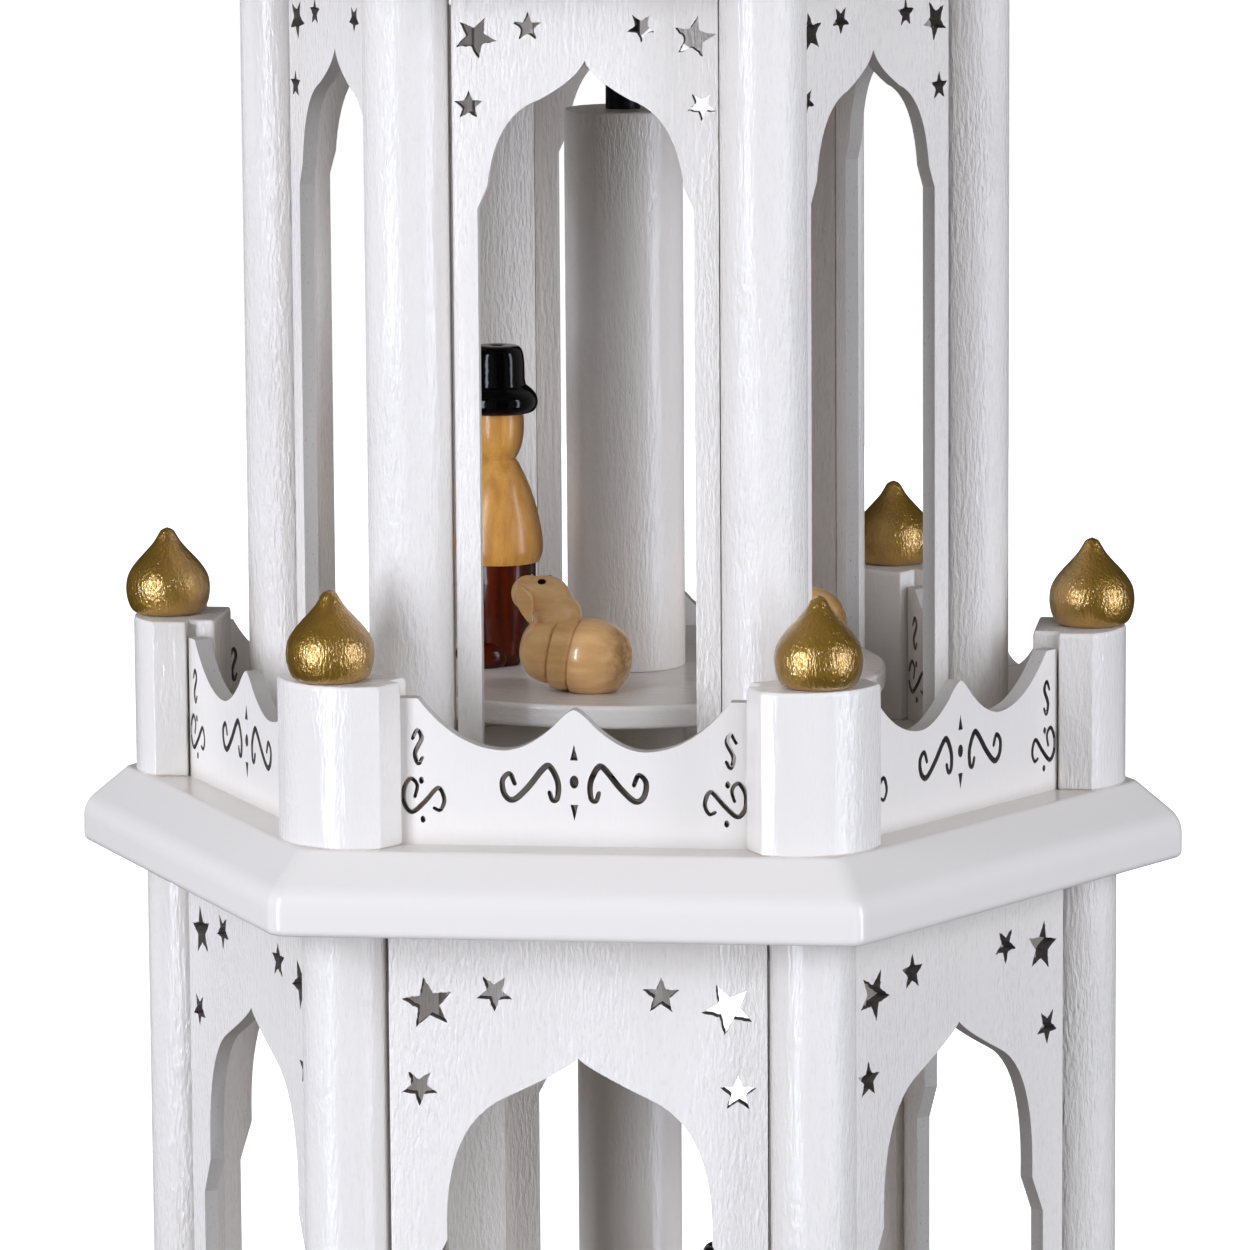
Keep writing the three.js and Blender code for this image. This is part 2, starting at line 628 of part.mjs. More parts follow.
addBoards();
addStoreyPosts('lower', LOWER, BASE_TOP);
addStoreyPanels('lower', LOWER, BASE_TOP);
addStoreyPosts('upper', UPPER, DECK_TOP);
addStoreyPanels('upper', UPPER, DECK_TOP);
addRailPosts();
addRailPanels();
addFinials();
addCandleCups();
addCarousel();

export default pyramid;
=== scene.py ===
"""Two-storey turning Christmas pyramid in white lacquered wood.

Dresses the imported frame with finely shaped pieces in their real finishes. Lengths are in
millimetres, and a mesh is turned to metres as it is made. The middle of the base board's
underside is the origin, and one face of the hexagon looks along -Y.
"""
import math

import bpy
from bpy.props import FloatProperty, FloatVectorProperty, IntProperty, PointerProperty
from mathutils import Matrix, Vector


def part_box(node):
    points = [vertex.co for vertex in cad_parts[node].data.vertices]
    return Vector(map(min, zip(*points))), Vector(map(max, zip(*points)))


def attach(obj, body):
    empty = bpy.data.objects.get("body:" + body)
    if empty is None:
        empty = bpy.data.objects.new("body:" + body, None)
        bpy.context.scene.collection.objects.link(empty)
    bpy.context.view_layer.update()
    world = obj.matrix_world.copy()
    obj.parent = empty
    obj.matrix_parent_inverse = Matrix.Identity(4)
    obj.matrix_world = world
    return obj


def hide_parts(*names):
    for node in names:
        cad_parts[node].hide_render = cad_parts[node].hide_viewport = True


bl_info = {
    "name": "Christmas Pyramid",
    "version": (1, 0, 0),
    "blender": (4, 5, 0),
    "location": "View3D > Sidebar > Pyramid",
    "description": "Dresses the packed frame of a turning Christmas pyramid",
    "category": "Object",
}

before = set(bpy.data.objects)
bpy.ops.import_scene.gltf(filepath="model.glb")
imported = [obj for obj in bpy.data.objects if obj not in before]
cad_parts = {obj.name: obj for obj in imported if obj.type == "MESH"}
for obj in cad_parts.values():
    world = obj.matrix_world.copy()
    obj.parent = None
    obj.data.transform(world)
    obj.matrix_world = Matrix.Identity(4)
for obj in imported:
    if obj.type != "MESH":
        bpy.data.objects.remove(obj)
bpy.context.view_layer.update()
MM = 0.001
FACES = 6
STEP = 2 * math.pi / FACES


def cad_box(node):
    """Lowest and highest corner of a CAD node in millimetres."""
    return tuple(Vector(corner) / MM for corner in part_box(node))


# Levels and places that come from the frame. The third corner of the hexagon lies on +X.
BASE_TOP = cad_box("base_board")[1].z
DECK_BOTTOM, DECK_TOP = (corner.z for corner in cad_box("middle_deck"))
ROOF_BOTTOM, ROOF_TOP = (corner.z for corner in cad_box("roof_board"))
FIRST_CORNER = -math.pi / 2 - STEP / 2

# Each board's short name, its bore's radius and, where that isn't bored through, its depth.
BOARDS = {
    "base_board": ("base", 4, 6), "middle_deck": ("deck", 5, None), "roof_board": ("roof", 3.5, None)}

# Places on a panel are a distance from its middle and a depth under its top edge. The curves of
# the arch run from the jamb's top over a step and a shoulder to the tip. The stars sit in the
# corner and at its inner and outer side, and their tilts are in degrees, in that order.
STOREYS = {
    "lower": {
        "floor": BASE_TOP, "height": DECK_BOTTOM - BASE_TOP, "face": 70.3,
        "places": {
            "jamb": (25.5, 60), "step": (22.2, 53.5), "shoulder_pull": (22.9, 33.8), "shoulder": (12, 29),
            "tip_pull": (1.5, 24), "tip": (0, 22.2),
            "corner": (25, 13.4), "inner": (13.9, 11.4), "outer": (26.6, 27.6)},
        "stars": {"corner": 4.5, "inner": 3.2, "outer": 3.2},
        "left_tilts": (9, 36, 36), "right_tilts": (27, 0, 0),
        "shifts": (0.28, -0.28, 0.2, 0.28, 0.24, 0.2)},
    "upper": {
        "floor": DECK_TOP, "height": ROOF_BOTTOM - DECK_TOP, "face": 52.8,
        "places": {
            "jamb": (18, 39.1), "step": (16.3, 35.3), "shoulder_pull": (15, 23.5), "shoulder": (7.5, 21),
            "tip_pull": (1.2, 17.6), "tip": (0, 14.6),
            "corner": (18.1, 10.8), "inner": (9.4, 9.1), "outer": (19.3, 22)},
        "stars": {"corner": 3.6, "inner": 2.5, "outer": 2.5},
        "left_tilts": (-28, 0, 0), "right_tilts": (-10, 36, 36),
        "shifts": (0.3, -0.28, 0.2, 0.28, 0.24, 0.25)},
}
FLIPPED_FACES = (1, 3)  # panels that were set in back to front
REBATE_FACE = 75.78     # distance of the rail posts' rebates from the axle
REBATE_NECK = 8.25      # half width of a rail post behind them

# How far the grain moves on, in metres from one copy to the next, and in millimetres from one
# panel to the next.
COPY_GRAIN = (0.031, 0.047, 0.113)
ARCH_GRAIN, RAIL_GRAIN = 211.0, 97.0


# Settings that a user would change
def linear(code):
    """An sRGB hex colour as linear red, green, blue and alpha."""
    channels = [int(code[i:i + 2], 16) / 255 for i in (1, 3, 5)]
    return (*(c / 12.92 if c <= 0.04045 else ((c + 0.055) / 1.055) ** 2.4 for c in channels), 1.0)


def colour_property(name, description, code):
    return FloatVectorProperty(
        name=name, description=description, subtype="COLOR", size=4, min=0, max=1, default=linear(code))


def millimetres(name, description, default):
    return FloatProperty(name=name, description=description, default=default, min=0, unit="NONE")


def watts(name, description, default):
    return FloatProperty(name=name, description=description, default=default, min=0, unit="POWER")


class BoardSettings(bpy.types.PropertyGroup):
    slope_width: millimetres("Slope width", "Width of the moulded slope, in mm", 7)
    slope_drop: millimetres("Slope drop", "Height of the moulded slope, in mm", 6.7)
    corner_round: millimetres("Corner round", "Rounding of the upright corners in plan, in mm", 3.4)


class PostSettings(bpy.types.PropertyGroup):
    storey_radius: millimetres("Storey post radius", "Radius of the round milled posts, in mm", 7.2)
    back_flat: millimetres("Back flat", "Distance of a storey post's flat back from its axis, in mm", 4.5)
    rail_bulge: millimetres("Rail post bulge", "Rise of a rail post's outer face, in mm", 5.1)
    edge_round: millimetres("Edge round", "Rounding of the sanded edges, in mm", 0.8)


class PanelSettings(bpy.types.PropertyGroup):
    thickness: millimetres("Panel thickness", "Thickness of an arched panel, in mm", 2.5)
    star_ratio: FloatProperty(
        name="Star ratio", description="Inner over outer radius of a star", default=0.43, min=0.2,
        max=0.9)
    arris: millimetres("Arris", "Softened edge of the sawn plywood, in mm", 0.12)
    fray: millimetres("Fray", "How far the burnt edge of a star strays from its line, in mm", 0.7)
    scroll_cut: millimetres("Scroll cut", "Width of the sawn scroll lines, in mm", 0.72)


class KnobSettings(bpy.types.PropertyGroup):
    paint: colour_property("Paint", "Colour of the bronze paint", "#bc8f34")
    sides: IntProperty(name="Sides", description="Sides of each turned knob", default=56, min=12, max=96)


class LacquerSettings(bpy.types.PropertyGroup):
    colour: colour_property("Lacquer", "Colour of the sprayed lacquer", "#dfd7cd")
    roughness: FloatProperty(
        name="Roughness", description="Roughness of the dried lacquer", default=0.3, min=0, max=1,
        subtype="FACTOR")


class FigureSettings(bpy.types.PropertyGroup):
    maple: colour_property("Maple", "Varnished maple of heads and coats", "#c48f45")
    stain: colour_property("Stain", "Dark stain on the trousers", "#4e1604")
    limewood: colour_property("Limewood", "Waxed limewood of the sheep", "#e5b679")


class RotorSettings(bpy.types.PropertyGroup):
    blades: IntProperty(name="Blades", description="Number of rotor blades", default=12, min=3, max=24)
    pitch: FloatProperty(
        name="Pitch", description="Turn of each blade about its stem", default=math.radians(38),
        subtype="ANGLE")


class StageSettings(bpy.types.PropertyGroup):
    key: watts("Key power", "Power of the narrow softbox in front at the left", 30)
    side: watts("Side power", "Power of the narrow softbox at the right", 18)
    fill: watts("Fill power", "Power of the softbox in front at the right", 15)
    high: watts("High power", "Power of the softbox above the camera", 5)
    right: watts("Right power", "Power of the softbox behind at the right", 5.5)
    left: watts("Left power", "Power of the softbox behind at the left", 11)
    far_left: watts("Far left power", "Power of the narrow softbox at the far left", 12)
    back: watts("Back power", "Power of the softbox behind the object", 8)
    ambient: FloatProperty(
        name="Ambient", description="Strength of the studio's own light", default=0.02, min=0)


SETTINGS = {
    "pyramid_boards": BoardSettings,
    "pyramid_posts": PostSettings,
    "pyramid_panels": PanelSettings,
    "pyramid_knobs": KnobSettings,
    "pyramid_lacquer": LacquerSettings,
    "pyramid_figures": FigureSettings,
    "pyramid_rotor": RotorSettings,
    "pyramid_stage": StageSettings,
}


# Nodes
def add(tree, kind, inputs=(), **settings):
    """Adds a node with its settings and its inputs, named, numbered or in a tuple in their order.
    Each gets a value, or a link from an output, a node's first output, or each of a list of these."""
    made = tree.nodes.new(kind)
    for key, value in settings.items():
        setattr(made, key, value)
    for key, value in inputs.items() if isinstance(inputs, dict) else enumerate(inputs):
        for source in value if isinstance(value, list) else [value]:
            if isinstance(source, bpy.types.Node):
                source = source.outputs[0]
            if isinstance(source, bpy.types.NodeSocket):
                tree.links.new(source, made.inputs[key])
            else:
                made.inputs[key].default_value = source
    return made


def streaks(tree, grain, across, along, detail=3.0, roughness=0.6):
    """Noise drawn out along the fibres. Both sizes are in millimetres."""
    scale = (1 / (across * MM), 1 / (across * MM), 1 / (along * MM))
    drawn = add(tree, "ShaderNodeMapping", {"Vector": grain, "Scale": scale})
    return add(tree, "ShaderNodeTexNoise", {
        "Vector": drawn, "Scale": 1.0, "Detail": detail, "Roughness": roughness})


def toned(tree, pattern, low, high, first, second, most=1.0):
    """A colour that turns from first to second, most of the way, as a pattern rises from low to high."""
    factor = add(tree, "ShaderNodeMapRange", (pattern, low, high, 0.0, most))
    return add(tree, "ShaderNodeMix", {0: factor, 6: first, 7: second}, data_type="RGBA").outputs[2]


def relief(tree, *layers):
    """A bumped normal. Each layer is a pattern and its depth in millimetres."""
    height = 0.0
    for pattern, depth in layers:
        height = add(tree, "ShaderNodeMath", (pattern, depth * MM, height), operation="MULTIPLY_ADD")
    return add(tree, "ShaderNodeBump", {"Height": height, "Distance": 1.0})


# Finishes. Each gives the inputs of its shader, and reads the grain, whose third number runs
# along the fibres. The depths of its relief are in millimetres.
def lacquer(tree, grain, fibres, grooves, ripples, hollow_shade=0.0, gloss=0.0, calm=0.3):
    """Satin nitro lacquer sprayed on wood: the fibres swell and show through it, in some places
    more than in others, as upright ripples that break each highlight into short drops. The dips
    between them get painted shade, a grey tint as strong as the shade setting; gloss comes off the
    roughness, and calm is the least that fibres swell."""
    chosen = bpy.context.scene.pyramid_lacquer
    swollen = streaks(tree, grain, 0.6, 2.2, detail=2.0)
    drawn = streaks(tree, grain, 1.0, 14.0, detail=2.0)
    waves = streaks(tree, grain, 4.0, 9.0, detail=1.0)
    patches = streaks(tree, grain, 22.0, 60.0, detail=1.0)
    strength = add(tree, "ShaderNodeMapRange", (patches, 0.35, 0.65, calm, 1.4))
    uneven = add(tree, "ShaderNodeMath", (swollen, strength), operation="MULTIPLY")
    colour = chosen.colour
    # Painted shade: the dips of the swollen fibres are tinted grey, as shade would fall in them.
    if hollow_shade:
        colour = toned(tree, swollen, 0.45, 0.3, colour, linear("#8b8279"), hollow_shade)
    return {
        "Base Color": colour,
        "Roughness": chosen.roughness - gloss,
        "IOR": 1.5,
        "Normal": relief(tree, (uneven, fibres), (drawn, grooves), (waves, ripples)),
    }


def burnt_edge(tree, grain, pale, dark, char):
    """Plywood edge cut by a laser and sprayed thinly: brown char comes through the paint in
    streaks of 0.7 mm along the edge and 0.26 mm across the plies."""
    drawn = add(tree, "ShaderNodeMapping", {"Vector": grain, "Scale": (1400, 3800, 1400)})
    burns = add(tree, "ShaderNodeTexNoise", {
        "Vector": drawn, "Scale": 1.0, "Detail": 3.0, "Roughness": 0.65})
    return {
        "Base Color": toned(tree, burns, 0.62 - char, 0.78 - char, linear(pale), linear(dark)),
        "Roughness": 0.72,
        "IOR": 1.5,
        "Normal": relief(tree, (burns, 0.08)),
    }


def bronze_paint(tree, grain):
    """Gold bronze powder in varnish, brushed on turned beech: a satin brown gold that crinkles
    along the grain, so that each highlight breaks into upright wavy lines."""
    crinkles = streaks(tree, grain, 0.5, 1.1, detail=2.0)
    cloud = streaks(tree, grain, 3.0, 4.0, detail=1.0)
    paint = bpy.context.scene.pyramid_knobs.paint
    return {
        "Base Color": toned(tree, cloud, 0.35, 0.65, paint, linear("#8c6420"), 0.35),
        "Metallic": 0.8,
        "Roughness": 0.38,
        "Coat Weight": 1.0,
        "Coat Roughness": 0.16,
        "Coat IOR": 1.8,
        "Coat Normal": relief(tree, (crinkles, 0.26), (cloud, 0.1)),
        "Normal": relief(tree, (crinkles, 0.2), (cloud, 0.1)),
    }


def spun_brass(tree, grain):
    """Brass sheet spun into a cup and lacquered: rings a quarter of a millimetre apart run round it
    from the tool."""
    drawn = add(tree, "ShaderNodeMapping", {"Vector": grain, "Scale": (60, 60, 4200)})
    rings = add(tree, "ShaderNodeTexNoise", {"Vector": drawn, "Scale": 1.0, "Detail": 2.0})
    tarnish = streaks(tree, grain, 4.0, 6.0)
    return {
        "Base Color": toned(tree, tarnish, 0.4, 0.7, linear("#d6ab55"), linear("#b98a3c")),
        "Metallic": 1.0,
        "Roughness": add(tree, "ShaderNodeMapRange", (rings, 0.3, 0.7, 0.2, 0.34)),
        "Normal": relief(tree, (rings, 0.006)),
    }


def drawn_steel(tree, grain):
    """Drawn steel rod blackened in oil: faint lines run along it, and it shines dully. The lines
    are 0.2 mm wide, coarser than the die leaves them, so that they show."""
    lines = streaks(tree, grain, 0.2, 12.0)
    return {
        "Base Color": toned(tree, lines, 0.0, 1.0, linear("#1d1b1d"), linear("#3a3638")),
        "Metallic": 0.9,
        "Roughness": add(tree, "ShaderNodeMapRange", (lines, 0.3, 0.7, 0.32, 0.5)),
        "Normal": relief(tree, (lines, 0.006)),
    }


def clear_wood(tree, grain, light, dark, years, roughness, coat, end_grain=0.0, shine=0.5):
    """Turned or planed wood under clear varnish or wax: soft year rings, fine darker fibres, and
    specks of open end grain where the tool cut across them. The fibres are 0.18 mm wide, coarser
    than real ones, so that they show. The light colour is a code or one of the figures' settings."""
    light = linear(light) if light[0] == "#" else getattr(bpy.context.scene.pyramid_figures, light)
    fine = streaks(tree, grain, 0.18, 4.0, detail=2.0)
    fibres = add(tree, "ShaderNodeMapRange", (fine, 0.45, 0.7, 0.0, 0.4))
    rings = streaks(tree, grain, years, 12 * years, detail=1.0)
    tone = toned(tree, rings, 0.36, 0.66, light, linear(dark), 0.6)
    tone = toned(tree, fibres, 0.0, 1.0, tone, linear(dark))
    if end_grain:
        along = add(tree, "ShaderNodeSeparateXYZ", (grain,)).outputs["Z"]
        open_ends = streaks(tree, grain, 1.1, 1.1, detail=2.0)
        specks = add(tree, "ShaderNodeMapRange", (open_ends, 0.45, 0.6, 0.25, 1.0))
        end = add(tree, "ShaderNodeMapRange", (along, -6.6 * MM, -9.4 * MM, 0.0, end_grain))
        cover = add(tree, "ShaderNodeMath", (end, specks), operation="MULTIPLY")
        tone = toned(tree, cover, 0.0, 1.0, tone, linear("#94602a"))
    return {
        "Base Color": tone,
        "Roughness": roughness,
        "IOR": 1.5,
        "Specular IOR Level": shine,
        "Coat Weight": coat,
        "Coat Roughness": 0.1,
        "Normal": relief(tree, (fibres, 0.01), (streaks(tree, grain, 1.4, 6.0, detail=1.0), 0.05)),
    }


def enamel(tree, grain, code, roughness):
    """Brushed enamel that levels out glossy, with faint brush marks round the turned form."""
    marks = streaks(tree, grain, 1.6, 1.2, detail=1.0)
    return {
        "Base Color": toned(tree, marks, 0.4, 0.7, linear(code), linear("#0a0807"), 0.3),
        "Roughness": roughness,
        "IOR": 1.5,
        "Specular IOR Level": 0.15,
        "Normal": relief(tree, (marks, 0.03)),
    }


FINISHES = {
    "lacquer_on_milled_board": (lacquer, {"fibres": 0.015, "grooves": 0, "ripples": 0.03, "gloss": 0.06}),
    "lacquer_on_round_post": (lacquer, {
        "fibres": 0.36, "grooves": 0.14, "ripples": 0.1, "hollow_shade": 0.06, "gloss": 0.06}),
    "lacquer_on_rail_post": (lacquer, {
        "fibres": 0.2, "grooves": 0.05, "ripples": 0.16, "gloss": 0.12, "calm": 0.2}),
    "lacquer_on_birch_plywood": (lacquer, {
        "fibres": 0.36, "grooves": 0.14, "ripples": 0.05, "hollow_shade": 0.1, "gloss": 0.04}),
    "lacquer_on_smooth_plywood": (lacquer, {
        "fibres": 0.06, "grooves": 0.03, "ripples": 0.03, "gloss": 0.08}),
    "lacquer_on_turned_column": (lacquer, {
        "fibres": 0.15, "grooves": 0.04, "ripples": 0.08, "hollow_shade": 0.04, "gloss": 0.06}),
    "thinly_painted_plywood_edge": (burnt_edge, {"pale": "#b9b3aa", "dark": "#5f564b", "char": 0}),
    "charred_plywood_edge": (burnt_edge, {"pale": "#6b645c", "dark": "#332c26", "char": 0.06}),
    "bronze_paint_on_beech": (bronze_paint, {}),
    "spun_brass": (spun_brass, {}),
    "blackened_steel": (drawn_steel, {}),
    "planed_limewood": (clear_wood, {
        "light": "#dcc296", "dark": "#bd9460", "years": 2.4, "roughness": 0.5, "coat": 0.1}),
    "varnished_maple": (clear_wood, {
        "light": "maple", "dark": "#9c6326", "years": 1.6, "roughness": 0.3, "coat": 0.1, "shine": 0.3}),
    "stained_maple": (clear_wood, {
        "light": "stain", "dark": "#1a0501", "years": 2.2, "roughness": 0.16, "coat": 0, "shine": 0.2}),
    "waxed_limewood": (clear_wood, {
        "light": "limewood", "dark": "#c6935a", "years": 1.8, "roughness": 0.3, "coat": 0.7,
        "end_grain": 0.6}),
    "black_enamel": (enamel, {"code": "#020202", "roughness": 0.12}),
    "eye_enamel": (enamel, {"code": "#0c0806", "roughness": 0.2}),
}


def new_material(name):
    """A material and its empty tree."""
    material = bpy.data.materials.new(name)
    material.use_nodes = True
    material.node_tree.nodes.clear()
    return material, material.node_tree


def finish(name):
    """A finish by name, made when it is first asked for."""
    if name in bpy.data.materials:
        return bpy.data.materials[name]
    material, tree = new_material(name)
    grain = add(tree, "ShaderNodeAttribute", attribute_type="GEOMETRY", attribute_name="grain")
    maker, sizes = FINISHES[name]
    shader = add(tree, "ShaderNodeBsdfPrincipled", maker(tree, grain.outputs["Vector"], **sizes))
    add(tree, "ShaderNodeOutputMaterial", {"Surface": shader})
    return material


# Shapes
def pulled(start, pull, end, steps):
    """Points after start on a curve that a third point pulls."""
    start, pull, end = Vector(start), Vector(pull), Vector(end)
    shares = [step / steps for step in range(1, steps + 1)]
    return [tuple(start * (1 - t) ** 2 + pull * (2 * t * (1 - t)) + end * t ** 2) for t in shares]


def filleted(points, closed=False, steps=4):
    """Corners (x, y, round) as a path whose corners are rounded off. A point just outside each
    rounding keeps the shading of the flats beside it even."""
    path, guard, room = [], 0.06, 0.1
    for i, (x, y, rounding) in enumerate(points):
        here = Vector((x, y))
        if not rounding or not (closed or 0 < i < len(points) - 1):
            path.append((x, y))
            continue
        before = Vector(points[i - 1][:2]) - here
        after = Vector(points[(i + 1) % len(points)][:2]) - here
        reach = min(rounding / math.tan(before.angle(after) / 2), before.length / 2, after.length / 2)
        start, end = here + before.normalized() * reach, here + after.normalized() * reach
        if reach + room < before.length / 2:
            path.append(tuple(start + before.normalized() * guard))
        path.extend([tuple(start), *pulled(start, here, end, steps)])
        if reach + room < after.length / 2:
            path.append(tuple(end + after.normalized() * guard))
    return path


def eased(points, steps):
    """A smooth path through points, in steps between each two."""
    path = []
    for i in range(len(points) - 1):
        a, b = Vector(points[max(i - 1, 0)]), Vector(points[i])
        c, d = Vector(points[i + 1]), Vector(points[min(i + 2, len(points) - 1)])
        for step in range(steps):
            t = step / steps
            path.append(tuple(0.5 * (2 * b + (c - a) * t + (2 * a - 5 * b + 4 * c - d) * t ** 2
                                     + (3 * b - a - 3 * c + d) * t ** 3)))
    return path + [tuple(points[-1])]


def loft(loops, closed=False):
    """A skin over loops of points, with a single point for a pole. Gives points and faces."""
    points, faces, rows = [], [], []
    for loop in loops:
        rows.append(range(len(points), len(points) + len(loop)))
        points.extend(loop)
    count = max(len(row) for row in rows)
    for low, high in zip(rows, rows[1:] + rows[:1] if closed else rows[1:]):
        for j in range(count):
            k = (j + 1) % count
            corners = (low[j % len(low)], low[k % len(low)], high[k % len(high)], high[j % len(high)])
            faces.append(tuple(dict.fromkeys(corners)))
    if not closed:
        faces.extend(cap for cap in (tuple(rows[0])[::-1], tuple(rows[-1])) if len(cap) > 2)
    return points, faces


def turned(profile, sides=64, closed=False):
    """A turned body. The profile lists radius and height, and a radius of 0 is a pole."""
    around = [2 * math.pi * j / sides for j in range(sides)]
    loops = [
        [(r * math.cos(a), r * math.sin(a), z) for a in around] if r > 1e-6 else [(0, 0, z)]
        for r, z in profile]
    return loft(loops, closed)


def bored(profile, sides=64, bore=3.15):
    """A turned body round the axle's bore. The profile lists radius, height and rounding."""
    low, high = profile[0][1], profile[-1][1]
    return turned(filleted([(bore, low, 0), *profile, (bore, high, 0)]), sides, closed=True)


def prism(section, levels):
    """A closed outline carried through levels, each an inset and a height."""
    reach = max(Vector(point).length for point in section)
    return loft([[(x * (1 - inset / reach), y * (1 - inset / reach), z) for x, y in section]
                 for inset, z in levels])


def ball(centre, size, sides=28):
    """An egg of the size length, width and height, cut flat where it would sink under zero."""
    rows = [math.pi * (i / (sides // 2) - 0.5) for i in range(sides // 2 + 1)]
    points, faces = turned([(math.cos(a), math.sin(a)) for a in rows], sides)
    placed = [[c + p * s / 2 for c, p, s in zip(centre, point, size)] for point in points]
    return [(x, y, max(z, 0)) for x, y, z in placed], faces


def moved(shell, matrix):
    """A shell put in its place."""
    points, faces = shell
    return [tuple(matrix @ Vector(point)) for point in points], faces


# Pieces
def linked(name, mesh):
    """A mesh as an object of the scene."""
    piece = bpy.data.objects.new(name, mesh)
    bpy.context.scene.collection.objects.link(piece)
    return piece


def add_piece(name, shells, finishes, place=Matrix(), fibres="z"):
    """One object of closed shells in millimetres, each in its finish. The attribute "grain" keeps
    each point's place in the piece before it is set down, in metres and along the fibres."""
    points, faces, marks = [], [], []
    for index, (shell_points, shell_faces) in enumerate(shells):
        faces.extend(tuple(len(points) + i for i in face) for face in shell_faces)
        marks.extend([index] * len(shell_faces))
        points.extend(shell_points)
    mesh = bpy.data.meshes.new(name)
    mesh.from_pydata([place @ Vector(point) * MM for point in points], [], faces)
    worn = list(dict.fromkeys(finishes))
    for one in worn:
        mesh.materials.append(finish(one))
    mesh.polygons.foreach_set("material_index", [worn.index(finishes[index]) for index in marks])
    order = {"x": (1, 2, 0), "z": (0, 1, 2)}[fibres]
    grain = mesh.attributes.new("grain", "FLOAT_VECTOR", "POINT")
    grain.data.foreach_set("vector", [point[axis] * MM for point in points for axis in order])
    piece = linked(name, mesh)
    shade(piece)
    return piece


def shade(piece, sharp=34):
    """Smooth shading that stays sharp at the edges of the form."""
    piece.data.polygons.foreach_set("use_smooth", [True] * len(piece.data.polygons))
    piece.data.set_sharp_from_angle(angle=math.radians(sharp))


def made_plain(piece, sharp=34):
    """Turns what the modifiers make into the piece's own mesh."""
    before = piece.data
    evaluated = piece.evaluated_get(bpy.context.evaluated_depsgraph_get())
    plain = bpy.data.meshes.new_from_object(evaluated)
    piece.modifiers.clear()
    piece.data = plain
    bpy.data.meshes.remove(before)
    shade(piece, sharp)


def stands_for(piece, body, slot, *nodes):
    """Names the piece's body and hides the CAD nodes that it stands for. The slot is not used."""
    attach(piece, body)
    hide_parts(*nodes)


def numbered(stem):
    """The names of the six like nodes."""
    return [f"{stem}_{i + 1}" for i in range(FACES)]


def grown(piece, make_tree, values):
    """Runs a Geometry Nodes tree on a piece and keeps the result as its plain mesh."""
    tree = bpy.data.node_groups.get(make_tree.__name__) or make_tree()
    modifier = piece.modifiers.new(tree.name, "NODES")
    modifier.node_group = tree
    names = {item.name: item.identifier for item in tree.interface.items_tree if item.in_out == "INPUT"}
    for name, value in values.items():
        modifier[names[name]] = value
    made_plain(piece)


def new_tree(name, inputs):
    """A Geometry Nodes tree with its geometry sockets and named inputs."""
    tree = bpy.data.node_groups.new(name, "GeometryNodeTree")
    tree.is_modifier = True
    tree.interface.new_socket("Geometry", in_out="INPUT", socket_type="NodeSocketGeometry")
    tree.interface.new_socket("Geometry", in_out="OUTPUT", socket_type="NodeSocketGeometry")
    for label, kind in inputs.items():
        tree.interface.new_socket(label, in_out="INPUT", socket_type=f"NodeSocket{kind}")
    return tree, add(tree, "NodeGroupInput").outputs


def ring_of_copies():
    """Sets copies of a piece on a circle, each turned to face outwards and with its own grain."""
    tree, given = new_tree("ring_of_copies", {
        "Count": "Int", "Radius": "Float", "Level": "Float", "First Angle": "Float",
        "Grain Shift": "Vector", "Finish": "Material"})
    circle = add(tree, "GeometryNodeMeshCircle", {"Vertices": given["Count"], "Radius": given["Radius"]})
    index = add(tree, "GeometryNodeInputIndex")
    spacing = add(tree, "ShaderNodeMath", (2 * math.pi, given["Count"]), operation="DIVIDE")
    angle = add(tree, "ShaderNodeMath", (index, spacing), operation="MULTIPLY")
    outwards = add(tree, "ShaderNodeCombineXYZ", {"Z": angle})
    turn = add(tree, "FunctionNodeEulerToRotation", (outwards,))
    copies = add(tree, "GeometryNodeInstanceOnPoints", {
        "Points": circle, "Instance": given["Geometry"], "Rotation": turn})
    marked = add(tree, "GeometryNodeStoreNamedAttribute", {
        "Geometry": copies, "Name": "copy", "Value": index}, data_type="FLOAT", domain="INSTANCE")
    set_down = add(tree, "GeometryNodeTransform", {
        "Geometry": marked,
        "Translation": add(tree, "ShaderNodeCombineXYZ", {"Z": given["Level"]}),
        "Rotation": add(tree, "ShaderNodeCombineXYZ", {"Z": given["First Angle"]})})
    real = add(tree, "GeometryNodeRealizeInstances", {"Geometry": set_down})
    copy = add(tree, "GeometryNodeInputNamedAttribute", {"Name": "copy"}, data_type="FLOAT")
    grain = add(tree, "GeometryNodeInputNamedAttribute", {"Name": "grain"}, data_type="FLOAT_VECTOR")
    shift = add(tree, "ShaderNodeVectorMath", {0: given["Grain Shift"], "Scale": copy}, operation="SCALE")
    own = add(tree, "ShaderNodeVectorMath", (grain, shift), operation="ADD")
    grained = add(tree, "GeometryNodeStoreNamedAttribute", {
        "Geometry": real, "Name": "grain", "Value": own}, data_type="FLOAT_VECTOR", domain="POINT")
    worn = add(tree, "GeometryNodeSetMaterial", {"Geometry": grained, "Material": given["Finish"]})
    add(tree, "NodeGroupOutput", {"Geometry": worn})
    return tree


def set_in_ring(piece, radius, level, count=FACES, first=FIRST_CORNER):
    """Repeats a piece round the axle in its own finish, with another stretch of grain for each."""
    grown(piece, ring_of_copies, {
        "Count": count, "Radius": radius * MM, "Level": level * MM, "First Angle": first,
        "Grain Shift": COPY_GRAIN, "Finish": piece.data.materials[0]})


